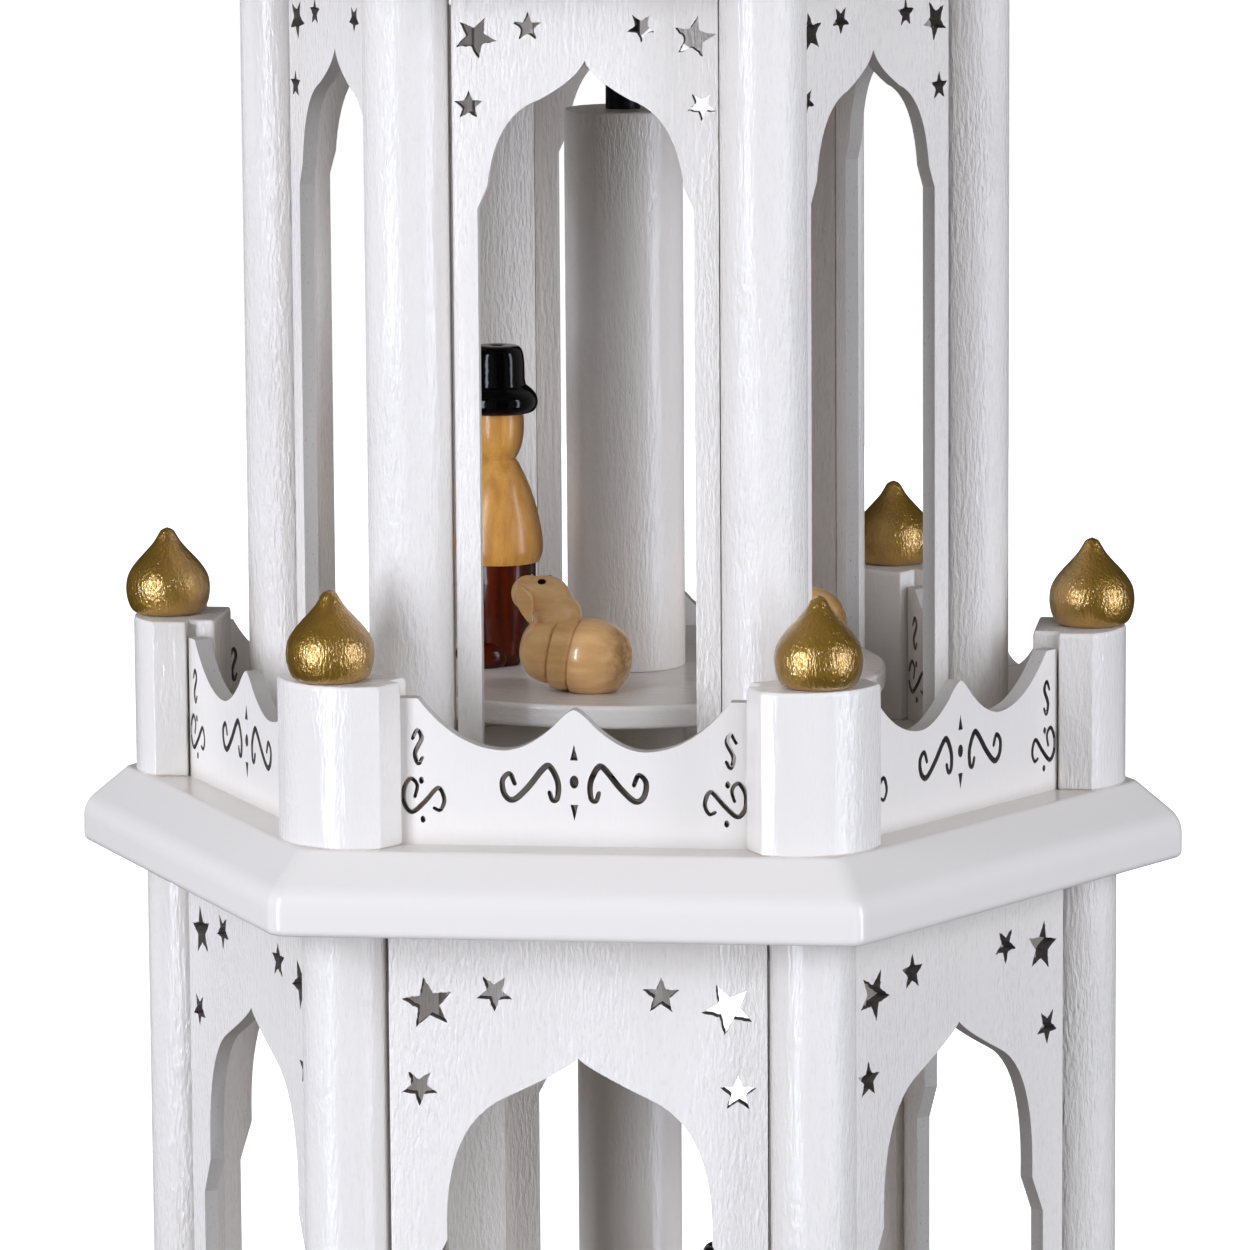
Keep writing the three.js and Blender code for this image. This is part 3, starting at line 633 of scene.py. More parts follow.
def pierced_panel():
    """Saws a panel: fills its outline, leaves out the holes and the stars, gives it thickness and
    stands it in its place. It works in millimetres until the last move."""
    tree, given = new_tree("pierced_panel", {
        "Thickness": "Float", "Star Ratio": "Float", "Face Distance": "Float", "Sideways": "Float",
        "Level": "Float", "Turn": "Float", "Grain Shift": "Float", "Fray": "Vector",
        "Painted Length": "Float", "Face Finish": "Material", "Edge Finish": "Material",
        "Hole Finish": "Material"})
    burn_step, burn_scale = 0.45, 1.3  # a burnt line has a point each 0.45 mm and waves of 0.8 mm
    border_reach, merge_reach = 0.3, 0.001
    sheet = given["Geometry"]
    radius, tilt, border, cut, hole = (
        add(tree, "GeometryNodeInputNamedAttribute", {"Name": name}, data_type=kind)
        for name, kind in (
            ("star_radius", "FLOAT"), ("star_tilt", "FLOAT"), ("border", "BOOLEAN"),
            ("cut", "BOOLEAN"), ("hole", "BOOLEAN")))
    place = add(tree, "GeometryNodeInputPosition")
    outline = add(tree, "GeometryNodeMeshToCurve", {"Mesh": sheet})
    star = add(tree, "GeometryNodeCurveStar", {
        "Points": 5, "Inner Radius": given["Star Ratio"], "Outer Radius": 1.0, "Twist": 0.0})
    is_star = add(tree, "FunctionNodeCompare", (radius, 0.0), operation="GREATER_THAN")
    flat_turn = add(tree, "ShaderNodeCombineXYZ", {"Z": tilt})
    spin = add(tree, "FunctionNodeEulerToRotation", (flat_turn,))
    stars = add(tree, "GeometryNodeInstanceOnPoints", {
        "Points": sheet, "Selection": is_star, "Instance": star, "Rotation": spin, "Scale": radius})
    star_lines = add(tree, "GeometryNodeRealizeInstances", {"Geometry": stars})
    steps = add(
        tree, "GeometryNodeResampleCurve", {"Curve": star_lines, "Length": burn_step}, mode="LENGTH")
    burn = add(tree, "ShaderNodeTexNoise", {
        "Vector": place, "W": given["Grain Shift"], "Scale": burn_scale, "Detail": 2.0},
        noise_dimensions="4D").outputs["Color"]
    centred = add(tree, "ShaderNodeVectorMath", (burn, (0.5, 0.5, 0.5)), operation="SUBTRACT")
    jump = add(tree, "ShaderNodeVectorMath", (centred, given["Fray"]), operation="MULTIPLY")
    frayed = add(tree, "GeometryNodeSetPosition", {"Geometry": steps, "Offset": jump})
    lines = add(tree, "GeometryNodeJoinGeometry", {"Geometry": [outline, frayed]})
    flat = add(tree, "GeometryNodeFillCurve", {"Curve": lines}, mode="TRIANGLES")
    thick = add(tree, "GeometryNodeExtrudeMesh", {
        "Mesh": flat, "Offset": (0.0, 0.0, 1.0), "Offset Scale": given["Thickness"], "Individual": False})

    # A cut face is a hole's where it lies away from the border, or past the painted length.
    flattened = add(tree, "ShaderNodeVectorMath", (place, (1.0, 1.0, 0.0)), operation="MULTIPLY")
    edge_line = add(tree, "GeometryNodeSeparateGeometry", (sheet, border), domain="POINT")
    near = add(tree, "GeometryNodeProximity", {
        "Geometry": edge_line, "Sample Position": flattened}, target_element="EDGES")
    away = add(
        tree, "FunctionNodeCompare", (near.outputs["Distance"], border_reach), operation="GREATER_THAN")
    parts = add(tree, "ShaderNodeSeparateXYZ", (place,)).outputs
    along = add(tree, "ShaderNodeMath", (parts["X"],), operation="ABSOLUTE")
    bare = add(tree, "FunctionNodeCompare", (along, given["Painted Length"]), operation="GREATER_THAN")
    dark = add(tree, "FunctionNodeBooleanMath", (away, bare), operation="OR")
    side = thick.outputs["Side"]
    marked = thick
    for name, value in (
            ("cut", side),
            ("hole", add(tree, "FunctionNodeBooleanMath", (side, dark), operation="AND"))):
        marked = add(tree, "GeometryNodeStoreNamedAttribute", {
            "Geometry": marked, "Name": name, "Value": value}, data_type="BOOLEAN", domain="FACE")
    back = add(tree, "GeometryNodeFlipFaces", {"Mesh": flat})
    shell = add(tree, "GeometryNodeJoinGeometry", {"Geometry": [marked, back]})
    merged = add(tree, "GeometryNodeMergeByDistance", {"Geometry": shell, "Distance": merge_reach})

    # The grain runs up the panel, and every panel has its own stretch of it.
    shifted = add(tree, "ShaderNodeMath", (parts["Y"], given["Grain Shift"]), operation="ADD")
    order = add(tree, "ShaderNodeCombineXYZ", (parts["X"], parts["Z"], shifted))
    metres = add(tree, "ShaderNodeVectorMath", {0: order, "Scale": MM}, operation="SCALE")
    grained = add(tree, "GeometryNodeStoreNamedAttribute", {
        "Geometry": merged, "Name": "grain", "Value": metres}, data_type="FLOAT_VECTOR", domain="POINT")
    out = add(tree, "ShaderNodeMath", (given["Thickness"], given["Face Distance"]), operation="SUBTRACT")
    upright = add(tree, "GeometryNodeTransform", {
        "Geometry": grained, "Rotation": (math.pi / 2, 0, 0),
        "Translation": add(tree, "ShaderNodeCombineXYZ", (given["Sideways"], out, given["Level"]))})
    placed = add(tree, "GeometryNodeTransform", {
        "Geometry": upright, "Scale": (MM, MM, MM),
        "Rotation": add(tree, "ShaderNodeCombineXYZ", {"Z": given["Turn"]})})
    worn = add(tree, "GeometryNodeRealizeInstances", {"Geometry": placed})
    for where, label in (({}, "Face Finish"), ({"Selection": cut}, "Edge Finish"),
                         ({"Selection": hole}, "Hole Finish")):
        worn = add(tree, "GeometryNodeSetMaterial", {"Geometry": worn, "Material": given[label], **where})
    add(tree, "NodeGroupOutput", {"Geometry": worn})
    return tree


def sawn_panel(name, border, holes, stars, face, values):
    """One pierced panel for a face of the hexagon, from its outline, its holes and its stars, each
    a place, size and tilt."""
    points, edges = [], []
    for loop in (border, *holes):
        first = len(points)
        points.extend(loop)
        edges.extend((first + i, first + (i + 1) % len(loop)) for i in range(len(loop)))
    plain = [0.0] * len(points)
    on_border = [i < len(border) for i in range(len(points) + len(stars))]
    points.extend(place for place, _, _ in stars)
    mesh = bpy.data.meshes.new(name)
    mesh.from_pydata([(x, y, 0) for x, y in points], edges, [])
    for label, kind, numbers in (
            ("star_radius", "FLOAT", plain + [size for _, size, _ in stars]),
            ("star_tilt", "FLOAT", plain + [math.radians(90 + tilt) for _, _, tilt in stars]),
            ("border", "BOOLEAN", on_border)):
        mesh.attributes.new(label, kind, "POINT").data.foreach_set("value", numbers)
    panel = linked(name, mesh)
    grown(panel, pierced_panel, values | {
        "Turn": face * STEP, "Edge Finish": finish("thinly_painted_plywood_edge"),
        "Hole Finish": finish("charred_plywood_edge")})
    bevel = panel.modifiers.new("arris", "BEVEL")
    bevel.width = bpy.context.scene.pyramid_panels.arris * MM
    bevel.segments = 2
    bevel.limit_method = "ANGLE"
    bevel.angle_limit = math.radians(40)
    made_plain(panel, sharp=20)
    return panel


# Boards
def hexagon(apothem, rounding, z, steps=9):
    """A hexagon with rounded corners as points, from the corner on +X."""
    points = []
    reach = (apothem - rounding) / math.cos(STEP / 2)
    for corner in range(FACES):
        middle = corner * STEP
        centre = Vector((reach * math.cos(middle), reach * math.sin(middle)))
        for step in range(steps + 1):
            angle = middle + STEP * (step / steps - 0.5)
            points.append((
                centre.x + rounding * math.cos(angle), centre.y + rounding * math.sin(angle), z))
    return points


def moulded_board(node, bore, pocket):
    """A hexagonal board with its moulded edge, bored through, or to a pocket's depth from the top."""
    chosen = bpy.context.scene.pyramid_boards
    low, high = cad_box(node)
    apothem, bottom, top = high.y, low.z, high.z
    edge = filleted([
        (apothem - 3, bottom, 0), (apothem, bottom, 1.3), (apothem, top - chosen.slope_drop, 5.5),
        (apothem - chosen.slope_width, top, 1.2), (apothem - chosen.slope_width - 4, top, 0)], steps=6)
    loops = [hexagon(reach, chosen.corner_round, z) for reach, z in edge]
    count = len(loops[0])
    angles = [STEP * (0.5 / (count / FACES) - 0.5) + j * 2 * math.pi / count for j in range(count)]
    levels = (bottom, top) if pocket is None else (top, top - pocket)
    rims = [[(bore * math.cos(a), bore * math.sin(a), z) for a in angles] for z in levels]
    if pocket is None:
        return loft([rims[0], *loops, rims[1]], closed=True)
    return loft([*loops, *rims])


class PYRAMID_OT_boards(bpy.types.Operator):
    """Base board, middle deck and roof with their moulded edges"""
    bl_idname = "pyramid.boards"
    bl_label = "Moulded boards"

    def execute(self, context):
        for node, (name, bore, pocket) in BOARDS.items():
            shell = moulded_board(node, bore, pocket)
            board = add_piece(f"{name}_moulded", [shell], ["lacquer_on_milled_board"], fibres="x")
            stands_for(board, "frame", "lacquered_board", node)
        return {"FINISHED"}


# Posts
class PYRAMID_OT_storey_posts(bpy.types.Operator):
    """Round milled posts of both storeys"""
    bl_idname = "pyramid.storey_posts"
    bl_label = "Storey posts"

    def execute(self, context):
        chosen = context.scene.pyramid_posts
        radius, sides = chosen.storey_radius, 44
        half = math.acos(-chosen.back_flat / radius)
        arc = [half * (2 * step / sides - 1) for step in range(sides + 1)]
        section = [(radius * math.cos(a), radius * math.sin(a)) for a in arc]
        foot = [(0.4, 0), (0.1, 0.12), (0, 0.4), (0, 0.5)]  # inset and level of the softened end
        for storey, sizes in STOREYS.items():
            head = [(inset, sizes["height"] - level) for inset, level in reversed(foot)]
            shell = prism(section, foot + head)
            posts = add_piece(f"{storey}_round_posts", [shell], ["lacquer_on_round_post"])
            set_in_ring(posts, cad_box(f"{storey}_post_3")[1].x - radius, sizes["floor"])
            stands_for(posts, "frame", "lacquered_post", *numbered(f"{storey}_post"))
        return {"FINISHED"}


class PYRAMID_OT_rail_posts(bpy.types.Operator):
    """Balustrade posts with a bulging outer face and a rebate for each panel's end"""
    bl_idname = "pyramid.rail_posts"
    bl_label = "Rail posts"

    def execute(self, context):
        chosen = context.scene.pyramid_posts
        low, high = cad_box("rail_post_3")
        centre, height = (low.x + high.x) / 2, high.z - low.z
        back, front, side = low.x - centre, high.x - centre, high.y
        bulge, soft, sides = chosen.rail_bulge, chosen.edge_round, 16
        radius = (side ** 2 + bulge ** 2) / (2 * bulge)
        half = math.asin(side / radius)
        arc = [half * (2 * step / sides - 1) for step in range(1, sides)]
        rebate, neck, shoulder = REBATE_FACE - centre, REBATE_NECK, front - bulge
        section = filleted([
            (back, -neck, 0.4), (rebate, -neck, 0), (rebate, -side, 0.4), (shoulder, -side, 0.5),
            *((front - radius + radius * math.cos(a), radius * math.sin(a), 0) for a in arc),
            (shoulder, side, 0.5), (rebate, side, 0.4), (rebate, neck, 0), (back, neck, 0.4)],
            closed=True)
        shell = prism(section, [  # inset and level, with a sanded round at the top
            (0.3, 0), (0, 0.3), (0, 0.4), (0, height - soft - 0.1), (0, height - soft),
            (0.12, height - 0.45 * soft), (0.4, height - 0.12 * soft), (0.4 + soft, height)])
        posts = add_piece("bulging_rail_posts", [shell], ["lacquer_on_rail_post"])
        set_in_ring(posts, centre, low.z)
        stands_for(posts, "frame", "lacquered_post", *numbered("rail_post"))
        return {"FINISHED"}


# Panels
class PYRAMID_OT_storey_panels(bpy.types.Operator):
    """Plywood panels with an ogee arch and six stars"""
    bl_idname = "pyramid.storey_panels"
    bl_label = "Arched panels"

    def execute(self, context):
        chosen = context.scene.pyramid_panels
        post_radius, play = context.scene.pyramid_posts.storey_radius, 0.3
        for storey, sizes in STOREYS.items():
            height = sizes["height"]
            at = {key: (x, height - depth) for key, (x, depth) in sizes["places"].items()}
            half_length = (cad_box(f"{storey}_post_3")[1].x - post_radius) / 2 - post_radius - play
            jamb = [
                (at["jamb"][0], 0), at["jamb"], at["step"],
                *pulled(at["step"], at["shoulder_pull"], at["shoulder"], 12),
                *pulled(at["shoulder"], at["tip_pull"], at["tip"], 8)]
            border = [
                (-half_length, 0), *((-x, y) for x, y in jamb[:-1]), *jamb[::-1],
                (half_length, 0), (half_length, height), (-half_length, height)]
            for face in range(FACES):
                over = -1 if face in FLIPPED_FACES else 1
                painted = half_length + (1 if face == 0 else -0.05)  # the front panel's ends are painted
                stars = [
                    ((over * side * at[key][0], at[key][1]), size, over * tilt)
                    for side, tilts in ((-1, sizes["left_tilts"]), (1, sizes["right_tilts"]))
                    for (key, size), tilt in zip(sizes["stars"].items(), tilts)]
                panel = sawn_panel(f"{storey}_arch_panel_{face + 1}", border, [], stars, face, {
                    "Thickness": chosen.thickness, "Star Ratio": chosen.star_ratio,
                    "Face Distance": sizes["face"], "Sideways": sizes["shifts"][face],
                    "Level": sizes["floor"], "Grain Shift": ARCH_GRAIN * face + height,
                    "Fray": (chosen.fray, chosen.fray, 0), "Painted Length": painted,
                    "Face Finish": finish("lacquer_on_birch_plywood")})
                stands_for(panel, "frame", "lacquered_plywood", f"{storey}_panel_{face + 1}")
        return {"FINISHED"}


# Middle lines of the left-hand scrolls, from the panel's middle and foot
WIDE_SCROLL = [
    (-9.9, 10.4), (-10.7, 12.1), (-11.9, 10.9), (-11.6, 8.6), (-10.1, 7.7), (-7.7, 9.8),
    (-5, 13.1), (-3.9, 13.2), (-2.7, 10.7), (-2.8, 8.1), (-3.6, 7.7), (-4.1, 9)]
END_SCROLL = [
    (-26.5, 8), (-26.1, 9.9), (-27.2, 11), (-28.3, 9.3), (-28.3, 6.9), (-27, 5.4),
    (-24.8, 7.2), (-22.6, 9.5), (-21.6, 7.5), (-22.3, 5.8), (-23.3, 6.1)]
SMALL_SCROLL = [(-26.8, 17.7), (-26, 19.1), (-25.3, 17.7), (-26.4, 15.3), (-25.9, 13.5), (-25.2, 14.5)]


def sawn_line(points, width):
    """The outline of a saw cut that follows points, widest in its middle and with rounded ends."""
    line = [Vector(point) for point in eased(points, 5)]
    left, right = [], []
    for i, point in enumerate(line):
        along = (line[min(i + 1, len(line) - 1)] - line[max(i - 1, 0)]).normalized()
        across = Vector((-along.y, along.x))
        half = width / 2 * (0.78 + 0.34 * math.sin(math.pi * i / (len(line) - 1)))
        left.append(point + across * half)
        right.append(point - across * half)
    ends = []
    for point, near, far in ((line[-1], left[-1], line[-2]), (line[0], right[0], line[1])):
        out = (point - far).normalized()
        half = near - point
        ends.append([point + half * math.cos(a) + out * half.length * math.sin(a)
                     for a in (math.pi / 4, math.pi / 2, 3 * math.pi / 4)])
    return [tuple(p) for p in (*left, *ends[0], *right[::-1], *ends[1])]


def egg(x, y, half_width, half_height):
    """The outline of an oval hole."""
    angles = [2 * math.pi * i / 14 for i in range(14)]
    return [(x + half_width * math.cos(a), y + half_height * math.sin(a)) for a in angles]


class PYRAMID_OT_rail_panels(bpy.types.Operator):
    """Low plywood panels of the balustrade with their sawn scrolls"""
    bl_idname = "pyramid.rail_panels"
    bl_label = "Scroll panels"

    def execute(self, context):
        width = context.scene.pyramid_panels.scroll_cut
        low, high = cad_box("rail_panel_1")
        half_length, end_height = high.x, high.z - low.z
        flat_end, hollow, rise = (half_length - 3.2, end_height), (12, 15.9), (3.4, 20)
        right = [
            (half_length, 0), (half_length, end_height), flat_end,
            *pulled(flat_end, (19.6, 16.2), hollow, 14), *pulled(hollow, (8, 15.8), rise, 10),
            *pulled(rise, (1.1, 22.6), (0, 22.8), 6)]
        border = right + [(-x, y) for x, y in right[:-1]][::-1]
        holes = [
            egg(0, 10.8, 0.75, 1.1), [(-0.65, 14.4), (0.65, 14.4), (0, 17)],
            [(-0.65, 7), (0, 4.3), (0.65, 7)]]
        for side in (-1, 1):
            for scroll, cut in ((WIDE_SCROLL, 1.3), (END_SCROLL, 1), (SMALL_SCROLL, 1)):
                holes.append(sawn_line([(-side * x, y) for x, y in scroll], cut * width))
            holes.extend((egg(side * 25.4, 10.7, 0.42, 0.62), egg(side * 25.2, 4.2, 0.42, 0.6)))
        for face in range(FACES):
            panel = sawn_panel(f"rail_scroll_panel_{face + 1}", border, holes, [], face, {
                "Thickness": high.y - low.y, "Star Ratio": 0.5, "Face Distance": -low.y, "Sideways": 0.0,
                "Level": low.z, "Grain Shift": RAIL_GRAIN * face, "Fray": (0, 0, 0),
                "Painted Length": half_length + 1, "Face Finish": finish("lacquer_on_smooth_plywood")})
            stands_for(panel, "frame", "lacquered_plywood", f"rail_panel_{face + 1}")
        return {"FINISHED"}


# Turned knobs and cups
ONION = [
    (0.7, 0), (0.86, 0.045), (0.96, 0.15), (1, 0.29), (0.965, 0.42), (0.86, 0.525), (0.7, 0.625),
    (0.5, 0.73), (0.34, 0.82), (0.235, 0.9), (0.15, 0.965), (0, 1)]


def onion(radius, height, sides):
    """A turned knob on the origin."""
    return turned([(0, 0), *((r * radius, z * height) for r, z in eased(ONION, 5))], sides)


class PYRAMID_OT_finials(bpy.types.Operator):
    """Onion knobs on the rail posts"""
    bl_idname = "pyramid.finials"
    bl_label = "Finials"

    def execute(self, context):
        low, high = cad_box("finial_3")
        radius = (high.x - low.x) / 2
        knob = onion(radius, high.z - low.z, context.scene.pyramid_knobs.sides)
        finials = add_piece("onion_finials", [knob], ["bronze_paint_on_beech"])
        set_in_ring(finials, high.x - radius, low.z)
        stands_for(finials, "frame", "gold_paint", *numbered("finial"))
        return {"FINISHED"}


class PYRAMID_OT_candle_cups(bpy.types.Operator):
    """Spun cups for candles on the corners of the base"""
    bl_idname = "pyramid.candle_cups"
    bl_label = "Candle cups"

    def execute(self, context):
        low, high = cad_box("candle_cup_3")
        radius, height, depth, socket = (high.x - low.x) / 2, high.z - low.z, 13, 7.4
        outside = filleted([
            (0, 0, 0), (9, 0, 0.4), (9, 1.5, 0.6), (5.2, 4, 2.5), (9.6, 8.5, 4), (radius, 12, 5),
            (9.9, height, 0.5), (socket, height, 0.5), (socket, height - depth, 0.8),
            (0, height - depth, 0)], steps=6)
        cups = add_piece("brass_cups", [turned(outside, 56)], ["spun_brass"])
        set_in_ring(cups, high.x - radius, low.z)
        stands_for(cups, "frame", "brass_cup", *numbered("candle_cup"))
        return {"FINISHED"}


# Turning parts
class PYRAMID_OT_turntables(bpy.types.Operator):
    """Axle, round plates and hollow columns"""
    bl_idname = "pyramid.turntables"
    bl_label = "Axle and turntables"

    def execute(self, context):
        low, high = cad_box("axle")
        rod = turned(filleted([
            (0, low.z, 0), (0.8, low.z, 0.3), (3, low.z + 5, 0.8), (3, high.z, 0.3), (0, high.z, 0)]), 40)
        axle = add_piece("turned_axle", [rod], ["blackened_steel"])
        stands_for(axle, "carousel", "blackened_steel", "axle")
        low, high = cad_box("lower_turntable")
        top = low.z + 13
        lower_plate = bored([
            (11, low.z, 0.6), (11, top - 5, 0), (60, top - 5, 0.9), (60, top, 0.9), (9.3, top, 0)], 96)
        lower_column = bored([(9.1, top, 0.3), (9.1, high.z, 0.5)])
        low, high = cad_box("upper_plate")
        upper_plate = bored([
            (10.2, low.z, 0.6), (10.2, high.z - 4, 0), (45, high.z - 4, 0.8), (45, high.z, 0.8),
            (10.4, high.z, 0)], 96)
        low, high = cad_box("upper_column")
        upper_column = bored([(10.2, low.z, 0.3), (10.2, high.z, 0.5)])
        for name, shell, fibres, node in (
                ("lower_plate_and_hub", lower_plate, "x", "lower_turntable"),
                ("lower_hollow_column", lower_column, "z", "lower_turntable"),
                ("upper_plate_and_hub", upper_plate, "x", "upper_plate"),
                ("upper_hollow_column", upper_column, "z", "upper_column")):
            piece = add_piece(name, [shell], ["lacquer_on_turned_column"], fibres=fibres)
            stands_for(piece, "carousel", "lacquered_turning", node)
        return {"FINISHED"}


class PYRAMID_OT_rotor(bpy.types.Operator):
    """Rotor of thin wooden blades in a turned hub"""
    bl_idname = "pyramid.rotor"
    bl_label = "Rotor"

    def execute(self, context):
        chosen = context.scene.pyramid_rotor
        top = cad_box("rotor")[1].z
        hub_bottom, knob_height = ROOF_TOP + 20, 16
        outline = filleted([
            (52, -13, 2), (135, -24, 5), (140, -19, 3), (140, 19, 3), (135, 24, 5), (52, 13, 2)],
            closed=True, steps=5)
        middle = 96
        blade = loft([
            [(middle + (x - middle) * grow, y * grow, z) for x, y in outline]
            for grow, z in ((0.985, -0.8), (1, -0.5), (1, 0.5), (0.985, 0.8))])
        pitched = moved(blade, Matrix.Rotation(chosen.pitch, 4, "X"))
        stem = turned(filleted([(0, 8.5, 0), (2, 8.5, 0), (2, 60, 0.6), (0, 60, 0)]), 24)
        lying = moved(stem, Matrix.Rotation(math.pi / 2, 4, "Y"))
        blades = add_piece("rotor_blades", [pitched, lying], ["planed_limewood"] * 2, fibres="x")
        set_in_ring(blades, 0, hub_bottom + 9, chosen.blades, math.pi / chosen.blades)
        stands_for(blades, "carousel", "rotor_wood", "rotor")
        hub = turned(filleted([
            (0, 12, 0), (3.15, 12, 0), (3.15, 0, 0.3), (17, 0, 2.2), (17, 6.2, 0.4), (16.4, 6.6, 0.3),
            (16.4, 11.4, 0.3), (17, 11.8, 0.4), (17, 18, 2.4), (9, 20.8, 4), (5.2, 22, 0.6),
            (0, 22, 0)]), 72)
        set_down = moved(hub, Matrix.Translation((0, 0, hub_bottom)))
        body = add_piece("rotor_hub", [set_down], ["lacquer_on_turned_column"])
        stands_for(body, "carousel", "lacquered_turning", "rotor")
        cap = moved(onion(8, knob_height, 56), Matrix.Translation((0, 0, top - knob_height)))
        knob = add_piece("rotor_knob", [cap], ["bronze_paint_on_beech"])
        stands_for(knob, "carousel", "gold_paint", "rotor")
        return {"FINISHED"}


# Figures: each one's place on its plate, and the way that it faces in degrees
MEN = {"shepherd": ((-22.02, -1.93), 215), "lower_man": ((20.06, -23.9), 300)}
SHEEP = {"sheep_front": ((-5.1, -28.95), 171), "sheep_back": ((27.7, 9.54), 185)}


def on_plate(node, place, facing):
    """Where a figure stands, as a matrix in millimetres."""
    level = cad_box(node)[0].z
    return Matrix.Translation((*place, level)) @ Matrix.Rotation(math.radians(facing), 4, "Z")


class PYRAMID_OT_men(bpy.types.Operator):
    """Turned men with a stained lower half, a maple coat and a black hat"""
    bl_idname = "pyramid.men"
    bl_label = "Turned men"

    def execute(self, context):
        legs = turned([(0, 0), *filleted([
            (3.4, 0, 0.3), (4.6, 2, 1), (5.8, 9, 4), (6.4, 15, 4), (6.4, 18.2, 0)]), (0, 18.2)])
        coat = turned([(0, 18.1), (6.3, 18.1), (7.1, 18.15), *eased([
            (7.45, 19), (7.7, 20.5), (7.55, 22.8), (7, 26), (6.15, 29.2), (5.05, 32.2), (3.8, 34.9),
            (3.1, 36)], 6), (0, 36)])
        head = turned([(0, 35.9), *eased([
            (3, 35.9), (3.6, 37), (4.15, 38.4), (4.5, 40.2), (4.6, 42.2), (4.5, 44.1)], 6), (0, 44.1)])
        hat = turned([(0, 44), *eased([
            (4.6, 44), (5.9, 44.15), (6.7, 44.8), (7, 45.8), (6.8, 47), (6, 48.1), (5, 48.9)], 5),
            *eased([(4.8, 49.8), (4.78, 51.6), (4.7, 53.4), (4.35, 54.9), (3.6, 55.65), (2, 55.8),
                    (0.9, 55.6), (0.35, 55.2), (0, 55.1)], 5)])
        boots = [ball((3.4, side * 2.6, 1.9), (7.4, 5, 5.4)) for side in (-1, 1)]
        eyes = [ball((4.4 * math.cos(a), 4.4 * math.sin(a), 41.2), (0.5, 0.9, 1.1), 12)
                for a in (-0.36, 0.36)]
        shells = [legs, *boots, coat, head, hat, *eyes]
        worn = [*["stained_maple"] * 3, *["varnished_maple"] * 2, "black_enamel", *["eye_enamel"] * 2]
        for node, (place, facing) in MEN.items():
            man = add_piece(f"{node}_turned", shells, worn, on_plate(node, place, facing))
            stands_for(man, "carousel", "turned_figure", node)
        return {"FINISHED"}


def soft_head():
    """Head and neck of a sheep, carved round: eggs melted together in one skin."""
    eggs = [
        ball((5.3, 0, 16.1), (8.8, 7.3, 7)), ball((8.2, 0, 16.4), (6.2, 5.8, 6.3)),
        ball((2.4, 0, 13), (7, 6.7, 7)), ball((3.4, 0, 11.4), (8, 6.9, 9.2))]
    rough = add_piece("rough_head", eggs, ["waxed_limewood"] * len(eggs), fibres="x")
    remesh = rough.modifiers.new("one_skin", "REMESH")
    remesh.mode = "VOXEL"
    remesh.voxel_size = 0.32 * MM
    rough.modifiers.new("sanded", "SMOOTH").iterations = 14
    made_plain(rough)
    points = [tuple(vertex.co / MM) for vertex in rough.data.vertices]
    faces = [tuple(face.vertices) for face in rough.data.polygons]
    bpy.data.objects.remove(rough)
    return points, faces


class PYRAMID_OT_sheep(bpy.types.Operator):
    """Lying sheep turned in rings, with a carved head and leaf-shaped ears"""
    bl_idname = "pyramid.sheep"
    bl_label = "Sheep"

    def execute(self, context):
        back = turned([(0, -9.8), *eased([
            (1.6, -9.66), (3.1, -9.15), (4.9, -7.9), (6.2, -5.8), (6.8, -3.4), (6.85, -2),
            (6.65, -0.7)], 6),
            *eased([(6.05, -0.25), (6.35, 0.15), (6.5, 1.4), (6.35, 3)], 4),
            *eased([
                (5.45, 3.5), (5.75, 4.1), (5.7, 5.4), (5.1, 7.2), (3.5, 8.8), (1.7, 9.5), (0, 9.7)], 6)])
        laid_down = Matrix.Translation((0, 0, 6.2)) @ Matrix.Rotation(math.radians(81), 4, "Y")
        points, faces = moved(back, laid_down)
        lying = [(x, y, max(z, 0)) for x, y, z in points], faces
        leaf = eased([(1.1, 4.6), (1.5, 2.4), (1.3, 0.6), (0.3, -1.4), (-0.9, -3)], 5)
        leaf += eased([(-0.9, -3), (-1.5, -0.5), (-1.6, 1.9), (-0.6, 3.3), (1.1, 4.6)], 5)[1:-1]
        ear = loft([[(x * grow, y * grow, z) for x, y in leaf[::-1]]
                    for grow, z in ((0.86, -0.5), (1, -0.2), (1, 0.2), (0.86, 0.5))])
        ears = [moved(ear, Matrix.Translation((7.9, side * 3.6, 14.5))
                      @ Matrix.Rotation(math.radians(-side * 10), 4, "X")
                      @ Matrix.Rotation(math.pi / 2, 4, "X")) for side in (-1, 1)]
        eyes = [ball((5.2, side * 2.2, 18.75), (1.5, 1.3, 1.1), 16) for side in (-1, 1)]
        shells = [lying, soft_head(), *ears, *eyes]
        worn = [*["waxed_limewood"] * 4, *["eye_enamel"] * 2]
        for node, (place, facing) in SHEEP.items():
            sheep = add_piece(f"{node}_carved", shells, worn, on_plate(node, place, facing), fibres="x")
            stands_for(sheep, "carousel", "turned_sheep", node)
        return {"FINISHED"}


# Stage. Azimuth 0 is in front, on the -Y side, and grows to +X.
CAMERA_PLACE = (0.1529, -1.2143, 0.3855)
CAMERA_YAW, CAMERA_PITCH, CAMERA_ROLL = -7.189, 8.875, -0.390
CAMERA_LENS = 205.37
LIGHT_DISTANCE, LIGHT_CENTRE = 1.7, (0, 0, 0.19)
COOL_WHITE, SKY_WHITE = (0.79, 0.855, 1.0), (0.93, 0.95, 1.0, 1.0)

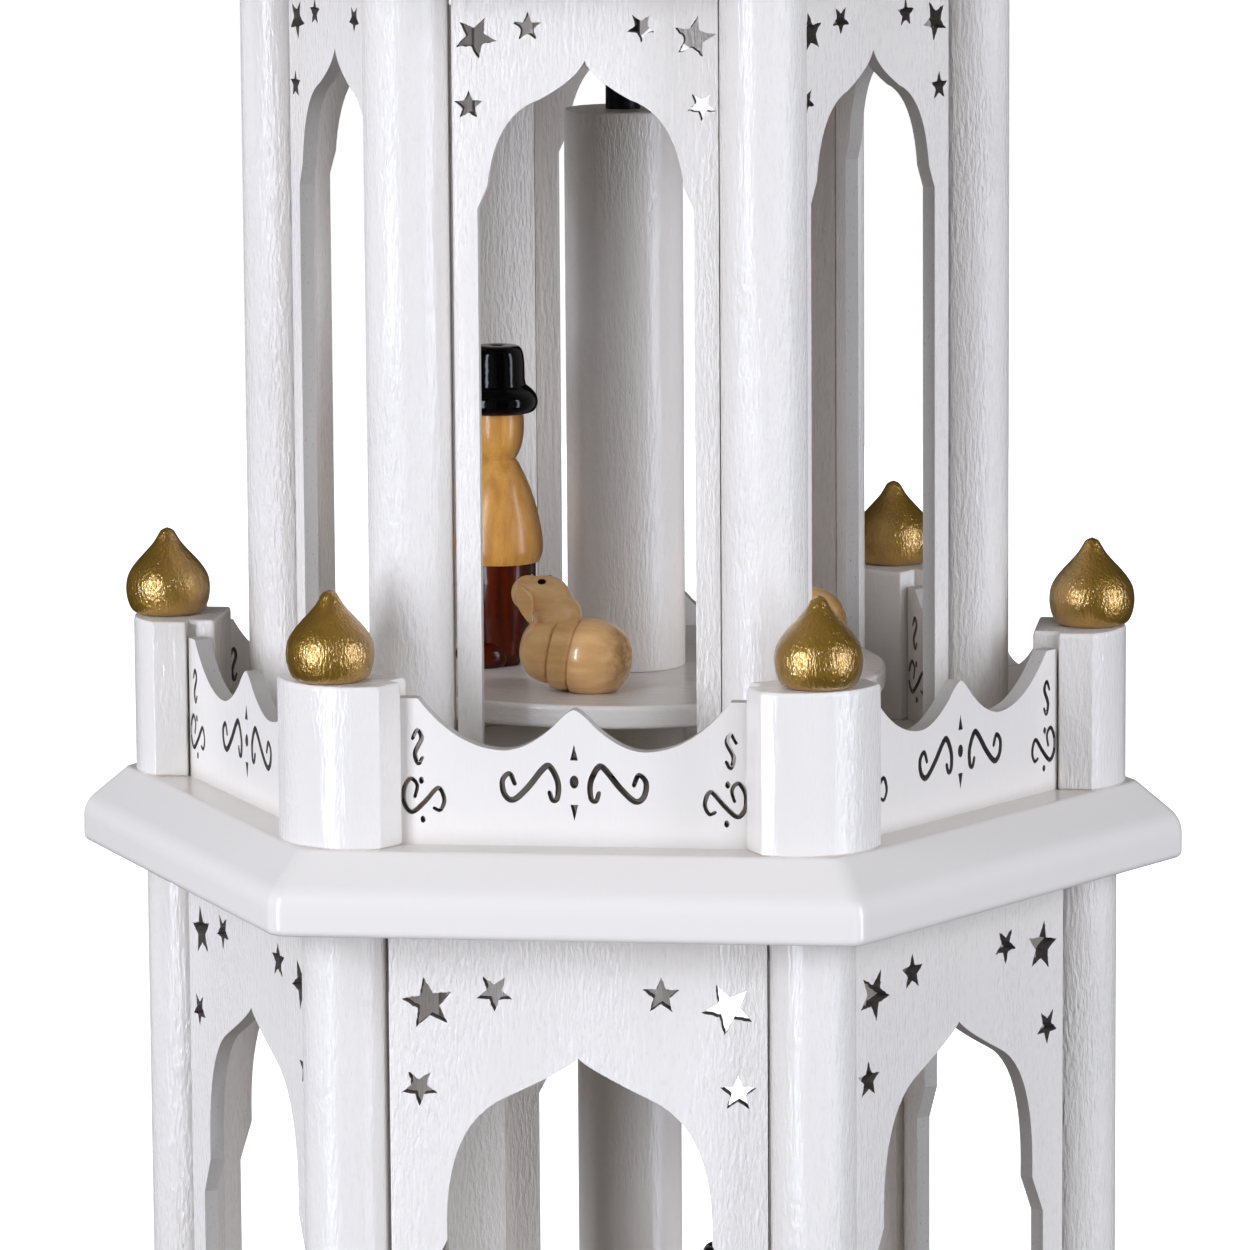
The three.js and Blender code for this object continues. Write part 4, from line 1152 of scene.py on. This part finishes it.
# Each softbox by its power setting: azimuth, elevation, width and height, and whether gloss
# mirrors it, as it does only the key and the side one.
SOFTBOXES = {
    "key": (-36, 5, 0.3, 1.5, True),
    "side": (70, 6, 0.25, 1.5, True),
    "fill": (38, 8, 0.9, 1.5, False),
    "high": (-10, 42, 1.0, 1.0, False),
    "right": (115, 10, 0.9, 1.5, False),
    "left": (-120, 10, 0.9, 1.5, False),
    "far_left": (-88, 8, 0.4, 1.5, False),
    "back": (180, 5, 1.2, 1.5, False),
}


def softbox(name, azimuth, elevation, width, height, glossy):
    """A cool rectangular light that faces the object."""
    light = bpy.data.lights.new(f"{name}_softbox", "AREA")
    light.shape = "RECTANGLE"
    light.size, light.size_y = width, height
    light.energy = getattr(bpy.context.scene.pyramid_stage, name)
    light.color = COOL_WHITE
    a, e = math.radians(azimuth), math.radians(elevation)
    away = Vector((math.sin(a) * math.cos(e), -math.cos(a) * math.cos(e), math.sin(e)))
    lamp = linked(f"{name}_softbox", light)
    lamp.location = Vector(LIGHT_CENTRE) + away * LIGHT_DISTANCE
    lamp.rotation_euler = away.to_track_quat("Z", "Y").to_euler()
    lamp.visible_glossy = glossy


def white_sweep():
    """A pale floor that turns into a white dome far behind the object. It glows less near the
    object, so that the shadow shows there."""
    material, tree = new_material("matt_white_sweep")
    near, far, dim = 0.2, 0.34, 0.42
    place = add(tree, "ShaderNodeTexCoord").outputs["Object"]
    reach = add(tree, "ShaderNodeVectorMath", (place,), operation="LENGTH").outputs["Value"]
    paper = add(tree, "ShaderNodeBsdfDiffuse", (linear("#dcdcde"),))
    brightness = add(tree, "ShaderNodeMapRange", (reach, near, far, dim, 1.0))
    glow = add(tree, "ShaderNodeEmission", {"Strength": brightness})
    both = add(tree, "ShaderNodeAddShader", (paper, glow))
    add(tree, "ShaderNodeOutputMaterial", {"Surface": both})
    profile = filleted([(0, 0, 0), (7000, 0, 2500), (7000, 7000, 4000), (0, 7000, 0)], steps=16)
    points, faces = turned(profile, 96)
    mesh = bpy.data.meshes.new("white_sweep")
    mesh.from_pydata([Vector(point) * MM for point in points], [], [face[::-1] for face in faces])
    mesh.materials.append(material)
    sweep = linked("white_sweep", mesh)
    shade(sweep)
    sweep.visible_diffuse = sweep.visible_glossy = False
    sweep.visible_transmission = sweep.visible_shadow = False


class PYRAMID_OT_stage(bpy.types.Operator):
    """Camera, soft studio light and pale floor"""
    bl_idname = "pyramid.stage"
    bl_label = "Stage"

    def execute(self, context):
        scene = context.scene
        view = bpy.data.cameras.new("photograph_view")
        view.sensor_width = 36
        view.lens = CAMERA_LENS
        view.clip_start, view.clip_end = 0.05, 50
        camera = linked("photograph_view", view)
        camera.matrix_world = (
            Matrix.Translation(CAMERA_PLACE) @ Matrix.Rotation(math.radians(-CAMERA_YAW), 4, "Z")
            @ Matrix.Rotation(math.radians(90 - CAMERA_PITCH), 4, "X")
            @ Matrix.Rotation(math.radians(CAMERA_ROLL), 4, "Z"))
        scene.camera = camera
        for name, sizes in SOFTBOXES.items():
            softbox(name, *sizes)
        white_sweep()
        world = bpy.data.worlds.new("studio")
        world.use_nodes = True
        sky = world.node_tree.nodes["Background"]
        sky.inputs["Color"].default_value = SKY_WHITE
        sky.inputs["Strength"].default_value = scene.pyramid_stage.ambient
        scene.world = world
        scene.view_settings.view_transform = "Standard"
        return {"FINISHED"}


OPERATORS = (
    PYRAMID_OT_stage, PYRAMID_OT_boards, PYRAMID_OT_storey_posts, PYRAMID_OT_storey_panels,
    PYRAMID_OT_rail_posts, PYRAMID_OT_rail_panels, PYRAMID_OT_finials, PYRAMID_OT_candle_cups,
    PYRAMID_OT_turntables, PYRAMID_OT_rotor, PYRAMID_OT_men, PYRAMID_OT_sheep)


class PYRAMID_PT_parts(bpy.types.Panel):
    """Buttons that make each group of pieces"""
    bl_idname = "PYRAMID_PT_parts"
    bl_label = "Christmas Pyramid"
    bl_space_type = "VIEW_3D"
    bl_region_type = "UI"
    bl_category = "Pyramid"

    def draw(self, context):
        for operator in OPERATORS:
            self.layout.operator(operator.bl_idname)


def register():
    for kind in (*SETTINGS.values(), *OPERATORS, PYRAMID_PT_parts):
        bpy.utils.register_class(kind)
    for name, kind in SETTINGS.items():
        setattr(bpy.types.Scene, name, PointerProperty(type=kind))


def unregister():
    for name in SETTINGS:
        delattr(bpy.types.Scene, name)
    for kind in reversed((*SETTINGS.values(), *OPERATORS, PYRAMID_PT_parts)):
        bpy.utils.unregister_class(kind)


def main():
    """Makes every piece."""
    register()
    for operator in OPERATORS:
        module, action = operator.bl_idname.split(".")
        if getattr(getattr(bpy.ops, module), action)() != {"FINISHED"}:
            raise RuntimeError(f"{operator.bl_label} could not be made")


if __name__ == "__main__":
    main()
